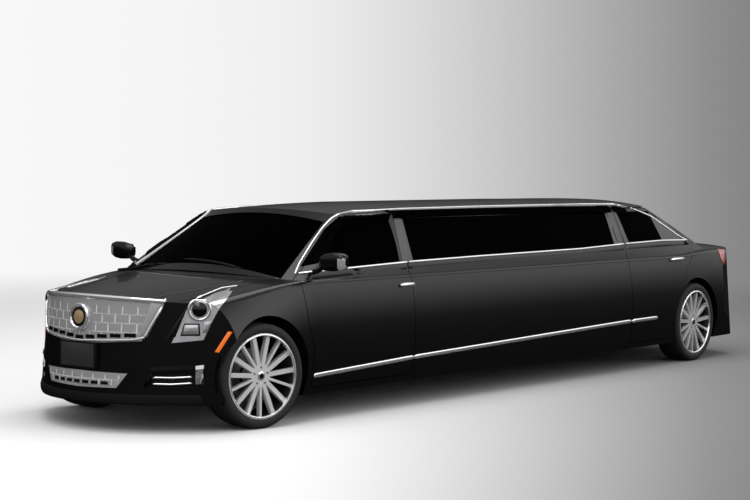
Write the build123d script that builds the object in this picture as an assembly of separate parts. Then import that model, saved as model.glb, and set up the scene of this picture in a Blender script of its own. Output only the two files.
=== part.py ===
# Stretch limousine: a four-door saloon whose body is lengthened between its front and rear doors.
# Millimetres. The nose points to -Y, the car's left side is +X, +Z is up.
# The origin is on the ground, under the middle of the car.
from build123d import *
from math import cos, hypot, radians, sin, tan
import os

# Driving dimensions of the whole car
WHEELBASE = 5885.0
FRONT_OVERHANG = 880.0
REAR_OVERHANG = 1110.0
BODY_WIDTH = 1850.0
ROOF_HEIGHT = 1465.0
BELT_HEIGHT = 940.0
GROUND_CLEARANCE = 190.0
FRONT_TRACK = 1540.0
REAR_TRACK = 1576.0

# Body shell
NOSE_LEAN_DEG = 4.0
FRONT_CLIP_BACKSET = 460.0
REAR_CLIP_FORESET = 300.0
SHOULDER_BULGE = 8.0
WAIST_HEIGHT = 600.0
GREENHOUSE_FOOT_HEIGHT = 880.0
WALL_DEPTH = 155.0
FRAME_DEPTH = 60.0
PILLAR_THICKNESS = 45.0
SILL_TOP = 232.0
PANEL_GAP = 6.0
LID_THICKNESS = 28.0
OVERRUN = 400.0

# Windscreen and rear window: each is a strip of a large cylinder lying along its slope
SCREEN_CHORD = 640.0
SCREEN_SAGITTA = 70.0
SCREEN_BASE_BACKSET = 250.0
SCREEN_BASE_HEIGHT = 1020.0
SCREEN_SLOPE_DEG = 29.0
REAR_SCREEN_TOP_FORESET = 500.0
REAR_SCREEN_TOP_HEIGHT = 1448.0
REAR_SCREEN_SLOPE_DEG = 22.5
GLASS_RECESS = 6.0
GLASS_THICKNESS = 5.0

# Doors
FRONT_DOOR_REACH = 1600.0
REAR_DOOR_REACH = 1160.0
FRONT_DOOR_BEVEL_DEG = 16.0
REAR_DOOR_BEVEL_DEG = 25.0
HINGE_SIZE = 32.0
HINGE_GAP = 0.2
LOWER_HINGE_HEIGHT = 420.0
UPPER_HINGE_HEIGHT = 780.0
LID_HINGE_OFFSET = 470.0

# Hollows: engine bay, cabin, boot and the open underbody round the rear axle
BAY_HALF_WIDTH = 440.0
BAY_FRONT_HALF_WIDTH = 480.0
BAY_TOP_HALF_WIDTH = 640.0
BAY_FRONT_FORESET = 630.0
BAY_CROSS_FORESET = 450.0
FIREWALL_BACKSET = 200.0
FIREWALL_THICKNESS = 90.0
COWL_BACKSET = 340.0
WELL_TOP = 800.0
SEAT_PLATFORM_FORESET = 440.0
SEAT_PLATFORM_TOP = 440.0
PLATE_THICKNESS = 30.0
PLATFORM_HALF_WIDTH = 560.0
REAR_SEAT_BACKSET = 100.0
BULKHEAD_THICKNESS = 60.0
BOOT_HALF_WIDTH = 520.0
BOOT_TOP_HALF_WIDTH = 560.0
BOOT_SHELF = 850.0
BOOT_MOUTH_BACKSET = 520.0
BOOT_REAR_BACKSET = 935.0
BOOT_SILL = 650.0

# Seams between fixed panels
HOOD_HALF_WIDTH = 690.0
HOOD_FRONT_HALF_WIDTH = 600.0
HOOD_FRONT_FORESET = 785.0
HOOD_NOSE_BOW = 225.0
HOOD_REAR_BACKSET = 215.0
HOOD_REAR_BOW = 115.0
HOOD_OPEN_HEIGHT = 700.0
LID_HALF_WIDTH = 600.0
LID_FRONT_BACKSET = 460.0
BUMPER_TOP = 640.0
FRONT_BUMPER_FORESET = 360.0
FRONT_BUMPER_HALF_WIDTH = 560.0
REAR_BUMPER_TOP = 600.0
REAR_BUMPER_BACKSET = 420.0
FENDER_SEAM_BACKSET = 450.0

# Wheels, wells and running gear
TYRE_RADIUS = 352.0
TYRE_WIDTH = 234.0
RIM_RADIUS = 286.0
RIM_WIDTH = 226.0
BARREL_THICKNESS = 13.0
SPOKE_GROUPS = 5
SPOKE_WIDTH = 30.0
THIN_SPOKE_WIDTH = 17.0
SPOKE_DEPTH = 34.0
SPOKE_SPREAD_DEG = 13.0
SPOKE_FACE = 92.0
HUB_RADIUS = 76.0
HUB_BACK = -20.0
STUB_RADIUS = 30.0
RUNNING_CLEARANCE = 0.05
WHEEL_WELL_RADIUS = 425.0
ARCH_RADIUS = 402.0
ARCH_LIP = 95.0
FRONT_WELL_INNER = 460.0
REAR_WELL_INNER = 572.0
KINGPIN_INSET = 50.0
KINGPIN_RADIUS = 14.0
UPRIGHT_HALF_HEIGHT = 105.0
UPRIGHT_SIZE = 44.0
ARM_HALF_WIDTH = 38.0
ARM_THICKNESS = 26.0
REST_STEER_DEG = -10.0
AXLE_BEAM_RADIUS = 42.0
CROSSMEMBER_HALF_LENGTH = 90.0

# Lamps, grille and small parts
LAMP_VIEW_DEG = 41.4
LAMP_START = 1400.0
LAMP_END = 560.0
LAMP_DEPTH = 130.0
GRILLE_DEPTH = 40.0
GRILLE_RECESS = 13.0
GRILLE_ROWS = 4
LOWER_GRILLE_ROWS = 2
GRILLE_COLUMNS = 6
GRILLE_BLOCK_WIDTH = 92.0
GRILLE_GROOVE = 8.0
FOG_DEPTH = 45.0
TAIL_LAMP_INNER = 620.0
MIRROR_REACH = 200.0
MIRROR_HEIGHT = 120.0
MIRROR_DEPTH = 95.0
MIRROR_BACKSET = 560.0
MIRROR_BASE_HEIGHT = 1000.0
DASH_HALF_WIDTH = 680.0
DASH_DEPTH = 260.0
COLUMN_LENGTH = 120.0
COLUMN_RADIUS = 28.0
COLUMN_TILT_DEG = 25.0
STEERING_WHEEL_RADIUS = 185.0
FRONT_SEAT_FORESET = 40.0
BENCH_BACKSET = 350.0
ENGINE_SIZE = 600.0
PLATE_HOLE_SPACING = 178.0
PLATE_HOLE_HEIGHT = 800.0
PLATE_HOLE_RADIUS = 3.2
TOW_HOLE_OFFSET = 300.0
TOW_HOLE_HEIGHT = 480.0
TOW_HOLE_RADIUS = 9.0
TOW_HOLE_DEPTH = 150.0
SEAT_HALF_WIDTH = 265.0
SEAT_CENTRE = 390.0
CUSHION_HEIGHT = 220.0
CUSHION_LENGTH = 500.0
BACKREST_HEIGHT = 640.0
BACKREST_THICKNESS = 130.0

# Derived places
HALF_WIDTH = BODY_WIDTH / 2
LENGTH = FRONT_OVERHANG + WHEELBASE + REAR_OVERHANG
NOSE_Y = -LENGTH / 2
TAIL_Y = LENGTH / 2
FRONT_AXLE_Y = NOSE_Y + FRONT_OVERHANG
REAR_AXLE_Y = TAIL_Y - REAR_OVERHANG
AXLE_HEIGHT = TYRE_RADIUS
HALF_FRONT_TRACK = FRONT_TRACK / 2
HALF_REAR_TRACK = REAR_TRACK / 2
CABIN_HALF_WIDTH = HALF_WIDTH - WALL_DEPTH
HINGE_X = HALF_WIDTH
FRONT_HINGE_Y = FRONT_AXLE_Y + FRONT_DOOR_REACH / 4
REAR_HINGE_Y = REAR_AXLE_Y - REAR_DOOR_REACH
KINGPIN_X = HALF_FRONT_TRACK - KINGPIN_INSET
SKY = ROOF_HEIGHT + OVERRUN
FAR = LENGTH

# Lower body sections. Columns: place from the clip's outer end to the straight middle,
# rocker, waist, belt and top half widths as shares of the body's,
# belt, top and crown heights as shares of the belt height.
NOSE_SECTION_SHARES = [
    (0.000, 0.886, 0.938, 0.832, 0.746, 0.800, 0.850, 0.935),
    (0.376, 0.919, 0.966, 0.865, 0.789, 0.880, 0.920, 0.985),
    (0.685, 0.951, 0.994, 0.919, 0.854, 0.953, 0.990, 1.038),
    (0.925, 0.957, 0.997, 0.938, 0.899, 0.993, 1.024, 1.069),
    (1.000, 0.957, 0.997, 0.943, 0.903, 1.000, 1.030, 1.074),
]
TAIL_SECTION_SHARES = [
    (0.000, 0.886, 0.938, 0.856, 0.789, 0.994, 1.045, 1.081),
    (0.276, 0.930, 0.976, 0.899, 0.832, 1.018, 1.069, 1.113),
    (0.605, 0.951, 0.994, 0.932, 0.881, 1.021, 1.066, 1.113),
    (0.901, 0.957, 0.997, 0.942, 0.902, 1.003, 1.034, 1.082),
    (1.000, 0.957, 0.997, 0.943, 0.903, 1.000, 1.030, 1.074),
]

# The body seen from above. Columns: half width, then distance from the nose or tail as a share of its overhang.
NOSE_PLAN_SHARES = [(0.000, 0.000), (0.541, 0.188), (0.757, 0.381), (0.989, 0.619)]
TAIL_PLAN_SHARES = [(0.000, 0.000), (0.660, 0.115), (0.875, 0.245), (0.998, 0.500)]

# Cabin roof sections. Columns: distance behind the front axle or ahead of the rear axle as shares of
# the roof reach; foot, middle, rail and edge half widths as shares of the body's half width;
# middle, rail, edge and crown heights as shares of the roof height.
ROOF_REACH = 1900.0
ROOF_FRONT_SHARES = [
    (0.053, 0.935, 0.862, 0.694, 0.600, 0.776, 0.878, 0.900, 0.928),
    (0.526, 0.937, 0.862, 0.735, 0.640, 0.790, 0.928, 0.953, 0.976),
    (1.000, 0.938, 0.868, 0.752, 0.655, 0.799, 0.948, 0.971, 1.000),
]
ROOF_REAR_SHARES = [
    (1.000, 0.938, 0.868, 0.752, 0.655, 0.799, 0.948, 0.971, 1.000),
    (0.474, 0.938, 0.864, 0.744, 0.648, 0.796, 0.945, 0.967, 0.996),
    (0.000, 0.930, 0.838, 0.712, 0.620, 0.782, 0.916, 0.942, 0.968),
    (-0.368, 0.915, 0.800, 0.670, 0.580, 0.758, 0.847, 0.873, 0.897),
]

# Where the skin stands at each height. Columns: height over roof height, half width over the body's.
SKIN_SHARES = [(0.129, 0.957), (0.409, 1.000), (0.642, 0.943), (0.667, 0.915), (0.799, 0.865), (0.948, 0.750)]

# Door outlines in side view. Columns: distance from the axle over the door's reach, height over roof height.
FRONT_DOOR_FORE_SHARES = [
    (0.286, 0.164), (0.286, 0.341), (0.250, 0.479), (0.236, 0.662), (0.262, 0.684), (0.510, 0.890), (0.690, 0.946), (2.000, 0.946), (2.000, 0.164),
]
FRONT_DOOR_REAR_SHARES = [
    (-0.500, 0.164), (1.000, 0.164), (1.000, 0.409), (1.000, 0.662), (1.001, 0.799), (1.003, 1.018), (-0.500, 1.018),
]
REAR_DOOR_FORE_SHARES = [(1.000, 0.164), (1.000, 0.946), (-1.000, 0.946), (-1.000, 0.164)]
REAR_DOOR_REAR_SHARES = [
    (2.000, 0.164), (0.405, 0.164), (0.388, 0.308), (0.292, 0.444), (0.155, 0.573), (-0.005, 0.669),
    (-0.065, 0.711), (0.130, 0.810), (0.330, 0.901), (0.435, 0.946), (0.500, 1.018), (2.000, 1.018),
]
FRONT_DOOR_GLASS_SHARES = [(0.345, 0.684), (0.515, 0.855), (0.690, 0.926), (0.960, 0.930), (0.945, 0.688)]
REAR_DOOR_GLASS_SHARES = [
    (0.945, 0.713), (0.965, 0.930), (0.470, 0.927), (0.300, 0.868), (0.130, 0.782), (-0.015, 0.716),
]
LONG_GLASS_FRONT_SHARES = [(1.035, 0.689), (1.038, 0.931)]
LONG_GLASS_REAR_SHARES = [(1.105, 0.931), (1.100, 0.708)]

# Screen glass outlines on their slopes. Columns: half width over the body's, height up the slope over the chord.
WINDSCREEN_SHARES = [(0.765, 0.095), (0.625, 1.215)]
REAR_SCREEN_SHARES = [(0.600, 0.060), (0.690, 1.330)]

# Grilles and fog lamp housings from the front. Columns: half width over the body's, height over roof height.
GRILLE_SHARES = [(0.000, 0.390), (0.478, 0.412), (0.530, 0.574), (0.530, 0.652), (0.000, 0.652)]
GRILLE_FIELD_SHARES = [(0.000, 0.406), (0.458, 0.428), (0.504, 0.563), (0.000, 0.565)]
LOWER_GRILLE_SHARES = [(0.000, 0.198), (0.330, 0.202), (0.400, 0.267), (0.000, 0.271)]
LOWER_GRILLE_FIELD_SHARES = [(0.000, 0.206), (0.322, 0.210), (0.382, 0.259), (0.000, 0.262)]
FOG_SHARES = [(0.500, 0.206), (0.800, 0.208), (0.830, 0.291), (0.540, 0.275)]
# Headlamp seen from the front quarter. Columns: across over the half width, height over roof height.
HEADLAMP_SHARES = [
    (0.482, 0.633), (0.369, 0.622), (0.211, 0.581), (0.152, 0.551), (0.106, 0.483),
    (0.052, 0.405), (0.274, 0.419), (0.319, 0.484), (0.384, 0.560),
]
# Tail lamp from the side. Columns: distance from the axle over the overhang, height over roof height.
TAIL_LAMP_SHARES = [(0.735, 0.667), (0.750, 0.570), (0.870, 0.509), (1.100, 0.499), (1.100, 0.693)]


def mirrored(solid):
    return mirror(solid, about=Plane.YZ)


def block(x, y, z):
    """A box between the two limits given for each axis."""
    low = (x[0], y[0], z[0])
    size = (x[1] - x[0], y[1] - y[0], z[1] - z[0])
    return Pos(*low) * Box(*size, align=(Align.MIN, Align.MIN, Align.MIN))


def one(shape):
    """The largest solid of a shape; slivers left by a cut are dropped."""
    return sorted(shape.solids(), key=lambda s: -s.volume)[0]


def unit(a, b):
    length = hypot(b[0] - a[0], b[1] - a[1])
    return ((b[0] - a[0]) / length, (b[1] - a[1]) / length)


def grown(points, by):
    """The polygon with every side moved outward by the given distance."""
    area = sum(a[0] * b[1] - b[0] * a[1] for a, b in zip(points, points[1:] + points[:1]))
    way = 1 if area > 0 else -1
    moved = []
    for before, here, after in zip(points[-1:] + points[:-1], points, points[1:] + points[:1]):
        u = unit(before, here)
        v = unit(here, after)
        p = (u[1] * way, -u[0] * way)
        q = (v[1] * way, -v[0] * way)
        spread = 1 + p[0] * q[0] + p[1] * q[1]
        moved.append((here[0] + by * (p[0] + q[0]) / spread, here[1] + by * (p[1] + q[1]) / spread))
    return moved


def side_prism(points, x_from, x_to, shear=0.0):
    """An outline of (y, z) points, swept across the car; shear moves it forward as it goes inward."""
    face = make_face(Polyline(*[(x_from, y, z) for y, z in points], close=True))
    reach = x_to - x_from
    return extrude(face, abs(reach) * hypot(1, shear), dir=(reach, -abs(reach) * shear, 0))


def front_prism(points, y_from, y_to):
    face = make_face(Polyline(*[(x, y_from, z) for x, z in points], close=True))
    return extrude(face, y_to - y_from, dir=(0, 1, 0))


def from_front_axle(shares, reach):
    return [(FRONT_AXLE_Y + a * reach, z * ROOF_HEIGHT) for a, z in shares]


def from_rear_axle(shares, reach):
    return [(REAR_AXLE_Y - a * reach, z * ROOF_HEIGHT) for a, z in shares]


def skin_inset(z):
    """How far the skin stands inside the widest line at a height."""
    rows = [(h * ROOF_HEIGHT, w * HALF_WIDTH) for h, w in SKIN_SHARES]
    if z <= rows[0][0]:
        return HALF_WIDTH - rows[0][1]
    for (z0, x0), (z1, x1) in zip(rows, rows[1:]):
        if z <= z1:
            return HALF_WIDTH - (x0 + (x1 - x0) * (z - z0) / (z1 - z0))
    return HALF_WIDTH - rows[-1][1]


def lower_section(y, shares):
    rocker, waist, belt, top = [share * HALF_WIDTH for share in shares[:4]]
    belt_z, top_z, crown_z = [share * BELT_HEIGHT for share in shares[4:]]
    right = [(-rocker, y, GROUND_CLEARANCE), (-waist, y, WAIST_HEIGHT), (-belt, y, belt_z)]
    left = [(-x, y, z) for x, y, z in right]
    bulge = ((belt + top) / 2 + SHOULDER_BULGE, y, (belt_z + top_z) / 2 + SHOULDER_BULGE)
    return make_face(
        [
            Line(right[0], left[0]),
            ThreePointArc(*left),
            ThreePointArc(left[2], bulge, (top, y, top_z)),
            ThreePointArc((top, y, top_z), (0, y, crown_z), (-top, y, top_z)),
            ThreePointArc((-top, y, top_z), (-bulge[0], y, bulge[2]), right[2]),
            ThreePointArc(*right[::-1]),
        ]
    )


def plan_outline():
    """The body seen from above: a bowed nose and tail, open at the sides."""
    z = GROUND_CLEARANCE
    nose = [(x * HALF_WIDTH, NOSE_Y + a * FRONT_OVERHANG, z) for x, a in NOSE_PLAN_SHARES]
    tail = [(x * HALF_WIDTH, TAIL_Y - a * REAR_OVERHANG, z) for x, a in TAIL_PLAN_SHARES]
    wide = HALF_WIDTH + OVERRUN
    side = [(wide, FRONT_AXLE_Y, z), (wide, REAR_AXLE_Y + OVERRUN, z)]
    right_nose, right_tail, right_side = [[(-x, y, z) for x, y, z in row] for row in (nose, tail, side)]
    return make_face(
        [
            ThreePointArc(right_nose[1], nose[0], nose[1]),
            ThreePointArc(*nose[1:]),
            Line(nose[3], side[0]),
            Line(*side),
            Line(side[1], tail[3]),
            ThreePointArc(*tail[:0:-1]),
            ThreePointArc(tail[1], tail[0], right_tail[1]),
            ThreePointArc(*right_tail[1:]),
            Line(right_tail[3], right_side[1]),
            Line(*right_side[::-1]),
            Line(right_side[0], right_nose[3]),
            ThreePointArc(*right_nose[:0:-1]),
        ]
    )


def lower_body():
    front_end = FRONT_AXLE_Y + FRONT_CLIP_BACKSET
    rear_start = REAR_AXLE_Y - REAR_CLIP_FORESET
    nose_rows = [(NOSE_Y + row[0] * (front_end - NOSE_Y), row[1:]) for row in NOSE_SECTION_SHARES]
    tail_rows = [(TAIL_Y - row[0] * (TAIL_Y - rear_start), row[1:]) for row in TAIL_SECTION_SHARES]
    nose = loft([lower_section(y, shares) for y, shares in nose_rows])
    tail = loft([lower_section(y, shares) for y, shares in tail_rows])
    middle = extrude(lower_section(*nose_rows[-1]), rear_start - front_end, dir=(0, 1, 0))
    plan = extrude(plan_outline(), ROOF_HEIGHT, dir=(0, 0, 1), taper=NOSE_LEAN_DEG)
    return (nose + middle + tail) & plan


def roof_section(y, shares, inset, plain):
    """One cut across the roof. A plain one, for the hidden inside, is made of straight lines."""
    foot, middle, rail, edge = [share * HALF_WIDTH - inset for share in shares[:4]]
    middle_z, rail_z, edge_z, crown_z = [share * ROOF_HEIGHT for share in shares[4:]]
    rail_z, edge_z, crown_z = rail_z - inset / 3, edge_z - inset, crown_z - inset
    bend = ((rail * 2 + edge) / 3, (rail_z + edge_z * 2) / 3)
    left = [(foot, y, GREENHOUSE_FOOT_HEIGHT), (middle, y, middle_z), (rail, y, rail_z)]
    right = [(-x, y, z) for x, y, z in left]
    if plain:
        corners = left + [(edge, y, edge_z), (0, y, crown_z), (-edge, y, edge_z)] + right[::-1]
        return make_face(Polyline(*corners, close=True))
    return make_face(
        [
            Line(right[0], left[0]),
            ThreePointArc(*left),
            ThreePointArc(left[2], (bend[0], y, bend[1]), (edge, y, edge_z)),
            ThreePointArc((edge, y, edge_z), (0, y, crown_z), (-edge, y, edge_z)),
            ThreePointArc((-edge, y, edge_z), (-bend[0], y, bend[1]), right[2]),
            ThreePointArc(*right[::-1]),
        ]
    )


def screen_frame(front):
    """Origin, slope direction and inward normal of the windscreen or the rear window."""
    if front:
        angle = radians(SCREEN_SLOPE_DEG)
        origin = (0, FRONT_AXLE_Y + SCREEN_BASE_BACKSET, SCREEN_BASE_HEIGHT)
        return origin, (0, cos(angle), sin(angle)), (0, sin(angle), -cos(angle))
    angle = radians(REAR_SCREEN_SLOPE_DEG)
    origin = (0, REAR_AXLE_Y - REAR_SCREEN_TOP_FORESET, REAR_SCREEN_TOP_HEIGHT)
    return origin, (0, cos(angle), -sin(angle)), (0, -sin(angle), -cos(angle))


def screen_cylinder(front, inset=0.0):
    """A long cylinder whose skin is the glass surface, with its axis along the glass's slope."""
    radius = (SCREEN_CHORD**2 + SCREEN_SAGITTA**2) / (2 * SCREEN_SAGITTA)
    origin, slope, inward = screen_frame(front)
    centre = [o + n * radius for o, n in zip(origin, inward)]
    return Plane(origin=centre, x_dir=(1, 0, 0), z_dir=slope) * Cylinder(radius - inset, 2 * LENGTH)


def screen_prism(front, shares, by=0.0):
    """The glass outline swept square to the glass, from above it to below it."""
    origin, slope, inward = screen_frame(front)
    (w0, s0), (w1, s1) = [(w * HALF_WIDTH + by, s * SCREEN_CHORD) for w, s in shares]
    s0, s1 = s0 - by, s1 + by
    corners = [(-w0, s0), (w0, s0), (w1, s1), (-w1, s1)]
    lift = SCREEN_SAGITTA
    points = [
        (x, origin[1] + slope[1] * s - inward[1] * lift, origin[2] + slope[2] * s - inward[2] * lift)
        for x, s in corners
    ]
    return extrude(make_face(Polyline(*points, close=True)), lift * 4, dir=inward)


def greenhouse(inset=0.0, plain=False):
    front_rows = [(FRONT_AXLE_Y + row[0] * ROOF_REACH, row[1:]) for row in ROOF_FRONT_SHARES]
    rear_rows = [(REAR_AXLE_Y - row[0] * ROOF_REACH, row[1:]) for row in ROOF_REAR_SHARES]
    front = loft([roof_section(y, shares, inset, plain) for y, shares in front_rows], ruled=plain)
    rear = loft([roof_section(y, shares, inset, plain) for y, shares in rear_rows], ruled=plain)
    span = rear_rows[0][0] - front_rows[-1][0]
    middle = extrude(roof_section(*front_rows[-1], inset, plain), span, dir=(0, 1, 0))
    return (front + middle + rear) & screen_cylinder(True, inset) & screen_cylinder(False, inset)


def wheel_wells():
    cuts = []
    for axle_y, inner in ((FRONT_AXLE_Y, FRONT_WELL_INNER), (REAR_AXLE_Y, REAR_WELL_INNER)):
        lip = HALF_WIDTH - ARCH_LIP
        well = Pos((inner + lip) / 2, axle_y, AXLE_HEIGHT) * Rot(0, 90, 0) * Cylinder(
            WHEEL_WELL_RADIUS, lip - inner
        )
        arch = Pos(lip + OVERRUN / 2 - ARCH_LIP, axle_y, AXLE_HEIGHT) * Rot(0, 90, 0) * Cylinder(
            ARCH_RADIUS, OVERRUN
        )
        cuts += [well, arch, mirrored(well), mirrored(arch)]
    return cuts


def hollows():
    """Everything taken out of the body: engine bay, cabin, boot and rear underbody."""
    bay_end = FRONT_AXLE_Y + FIREWALL_BACKSET
    bay_start = FRONT_AXLE_Y - BAY_FRONT_FORESET
    cross = FRONT_AXLE_Y - BAY_CROSS_FORESET
    under = GROUND_CLEARANCE - OVERRUN
    cabin_start = bay_end + FIREWALL_THICKNESS
    platform = REAR_AXLE_Y - SEAT_PLATFORM_FORESET
    seat_end = REAR_AXLE_Y + REAR_SEAT_BACKSET
    boot_start = seat_end + BULKHEAD_THICKNESS
    boot_mouth = REAR_AXLE_Y + BOOT_MOUTH_BACKSET
    boot_end = REAR_AXLE_Y + BOOT_REAR_BACKSET
    shelf = GREENHOUSE_FOOT_HEIGHT + PLATE_THICKNESS
    sides = lambda half: (-half, half)
    return [
        block(sides(BAY_HALF_WIDTH), (bay_start, bay_end), (under, SKY)),
        block(sides(BAY_FRONT_HALF_WIDTH), (bay_start, cross), (under, BUMPER_TOP)),
        block(sides(BAY_TOP_HALF_WIDTH), (cross, bay_end), (WELL_TOP, SKY)),
        block(sides(CABIN_HALF_WIDTH), (cabin_start, platform), (SILL_TOP, shelf)),
        block(sides(PLATFORM_HALF_WIDTH), (platform, seat_end), (SEAT_PLATFORM_TOP, shelf)),
        block(
            sides(PLATFORM_HALF_WIDTH),
            (platform + PLATE_THICKNESS, boot_end - PLATE_THICKNESS),
            (under, SEAT_PLATFORM_TOP - PLATE_THICKNESS),
        ),
        block(
            sides(REAR_WELL_INNER + PANEL_GAP),
            (REAR_AXLE_Y - AXLE_BEAM_RADIUS - PANEL_GAP, REAR_AXLE_Y + AXLE_BEAM_RADIUS + PANEL_GAP),
            (under, AXLE_HEIGHT + AXLE_BEAM_RADIUS + PANEL_GAP),
        ),
        block(
            sides(FRONT_WELL_INNER + PANEL_GAP),
            (FRONT_AXLE_Y - ARM_HALF_WIDTH - PANEL_GAP, FRONT_AXLE_Y + ARM_HALF_WIDTH + PANEL_GAP),
            (under, AXLE_HEIGHT + UPRIGHT_HALF_HEIGHT + ARM_THICKNESS + 2 * PANEL_GAP),
        ),
        block(sides(BOOT_HALF_WIDTH), (boot_start, boot_end), (SEAT_PLATFORM_TOP, BOOT_SHELF)),
        block(sides(BOOT_HALF_WIDTH), (boot_mouth, boot_end), (SEAT_PLATFORM_TOP, SKY)),
        block(sides(BOOT_TOP_HALF_WIDTH), (boot_mouth, TAIL_Y + OVERRUN), (BOOT_SILL, SKY)),
    ]


def cabin_air(inset):
    """The space under the roof, kept clear of the cowl in front and open to the shelf behind."""
    start = FRONT_AXLE_Y + COWL_BACKSET
    return greenhouse(inset, plain=True) & block((-FAR, FAR), (start, FAR), (GREENHOUSE_FOOT_HEIGHT, SKY))


def door_limit(by):
    """How far in a door reaches: to the cabin's wall below, and a frame's depth behind the skin above."""
    rows = [row for row in SKIN_SHARES if row[0] * ROOF_HEIGHT > BELT_HEIGHT]
    upper = [(w * HALF_WIDTH - FRAME_DEPTH - by, h * ROOF_HEIGHT) for h, w in rows]
    lower = [(CABIN_HALF_WIDTH - by, -FAR), (CABIN_HALF_WIDTH - by, upper[0][1] - PLATE_THICKNESS)]
    outer = [(FAR, SKY), (FAR, -FAR)]
    return front_prism(lower + upper + [(upper[-1][0] - OVERRUN, SKY)] + outer, -FAR, FAR)


def door_cutter(fore, rear, by, bevel_deg):
    """A door's solid outline on the left: straight in front, bevelled behind so that it can swing out."""
    shear = tan(radians(bevel_deg))
    skewed = [(y + skin_inset(z) * shear, z) for y, z in rear]
    inside = HALF_WIDTH - OVERRUN
    straight = side_prism(grown(fore, by), HALF_WIDTH + OVERRUN, inside)
    sheared = side_prism(grown(skewed, by), HALF_WIDTH, inside, shear)
    margin = side_prism(grown(skewed, by), HALF_WIDTH, HALF_WIDTH + OVERRUN)
    return (straight & (sheared + margin)) & door_limit(by)


def hinge_seats(hinge_y):
    """Where the body stands close to a door's front edge, as its two hinges do."""
    x = (HALF_WIDTH - WALL_DEPTH + HINGE_SIZE, HALF_WIDTH - HINGE_SIZE)
    y = (hinge_y - 2 * HINGE_SIZE, hinge_y + 2 * HINGE_SIZE)
    low, high = LOWER_HINGE_HEIGHT, UPPER_HINGE_HEIGHT
    return block(x, y, (low, low + HINGE_SIZE)).fuse(block(x, y, (high, high + HINGE_SIZE)))


def lid_seats(y):
    """Where the body stands close to the hinged edge of the bonnet or the boot lid."""
    near, far = LID_HINGE_OFFSET - HINGE_SIZE, LID_HINGE_OFFSET + HINGE_SIZE
    z = (HOOD_OPEN_HEIGHT, SKY)
    return block((near, far), y, z).fuse(block((-far, -near), y, z))


def hood_outline(by=0.0):
    """Plan of the bonnet: bowed at the nose and round the foot of the windscreen."""
    front_y = FRONT_AXLE_Y - HOOD_FRONT_FORESET - by
    side_front_y = front_y + HOOD_NOSE_BOW
    rear_y = FRONT_AXLE_Y + HOOD_REAR_BACKSET + by
    side_rear_y = rear_y + HOOD_REAR_BOW
    wide, narrow = HOOD_HALF_WIDTH + by, HOOD_FRONT_HALF_WIDTH + by
    z = HOOD_OPEN_HEIGHT
    return make_face(
        [
            ThreePointArc((-narrow, side_front_y, z), (0, front_y, z), (narrow, side_front_y, z)),
            Line((narrow, side_front_y, z), (wide, side_rear_y, z)),
            ThreePointArc((wide, side_rear_y, z), (0, rear_y, z), (-wide, side_rear_y, z)),
            Line((-wide, side_rear_y, z), (-narrow, side_front_y, z)),
        ]
    )


def hood_prism(by=0.0):
    return extrude(hood_outline(by), SKY - HOOD_OPEN_HEIGHT, dir=(0, 0, 1))


def lid_prism(by=0.0):
    half = LID_HALF_WIDTH + by
    start = REAR_AXLE_Y + LID_FRONT_BACKSET - by
    return block((-half, half), (start, FAR), (BOOT_SILL - by, SKY))


def nose_block(lower):
    return lower & block((-FAR, FAR), (-FAR, FRONT_AXLE_Y), (GROUND_CLEARANCE + PANEL_GAP, SKY))


def full_front(shares):
    """A whole outline in (x, z) from the right half's and the left half's shares."""
    left = [(x * HALF_WIDTH, z * ROOF_HEIGHT) for x, z in shares]
    return left + [(-x, z) for x, z in left[::-1] if x > 0]


def grille_grooves(shares, rows, y_from, y_to):
    """The field of a grille less its staggered blocks: what is sunk between them."""
    corners = full_front(shares)
    field = make_face(Polyline(*[(x, y_from, z) for x, z in corners], close=True))
    low, high = min(z for x, z in corners), max(z for x, z in corners)
    pitch = (high - low) / rows
    for row in range(rows):
        bottom = low + row * pitch + GRILLE_GROOVE
        top = low + (row + 1) * pitch
        shift = (row % 2) / 2
        for column in range(-GRILLE_COLUMNS, GRILLE_COLUMNS):
            left = (column + shift) * GRILLE_BLOCK_WIDTH
            right = left + GRILLE_BLOCK_WIDTH - GRILLE_GROOVE
            spots = [(left, y_from, bottom), (right, y_from, bottom), (right, y_from, top), (left, y_from, top)]
            field = field - make_face(Polyline(*spots, close=True))
    return extrude(field, y_to - y_from, dir=(0, 1, 0))


def lamp_room(nose):
    """The headlamp's outline, looked at from the front quarter and sunk by the lamp's depth."""
    angle = radians(LAMP_VIEW_DEG)
    ahead = (-sin(angle), cos(angle), 0)
    start = (-ahead[0] * LAMP_START, FRONT_AXLE_Y - ahead[1] * LAMP_START)
    outline = [(share * HALF_WIDTH, height * ROOF_HEIGHT) for share, height in HEADLAMP_SHARES]
    points = [(start[0] + u * cos(angle), start[1] + u * sin(angle), z) for u, z in outline]
    prism = extrude(make_face(Polyline(*points, close=True)), LAMP_START - LAMP_END, dir=ahead)
    return prism - Pos(ahead[0] * LAMP_DEPTH, ahead[1] * LAMP_DEPTH, 0) * nose


def steered(solid, turn=REST_STEER_DEG):
    """A left front wheel part turned about the left kingpin."""
    pivot = Pos(KINGPIN_X, FRONT_AXLE_Y, AXLE_HEIGHT)
    return pivot * Rot(0, 0, turn) * pivot.inverse() * solid


def tyre():
    return Rot(0, 90, 0) * (Cylinder(TYRE_RADIUS, TYRE_WIDTH) - Cylinder(RIM_RADIUS, TYRE_WIDTH))


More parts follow.
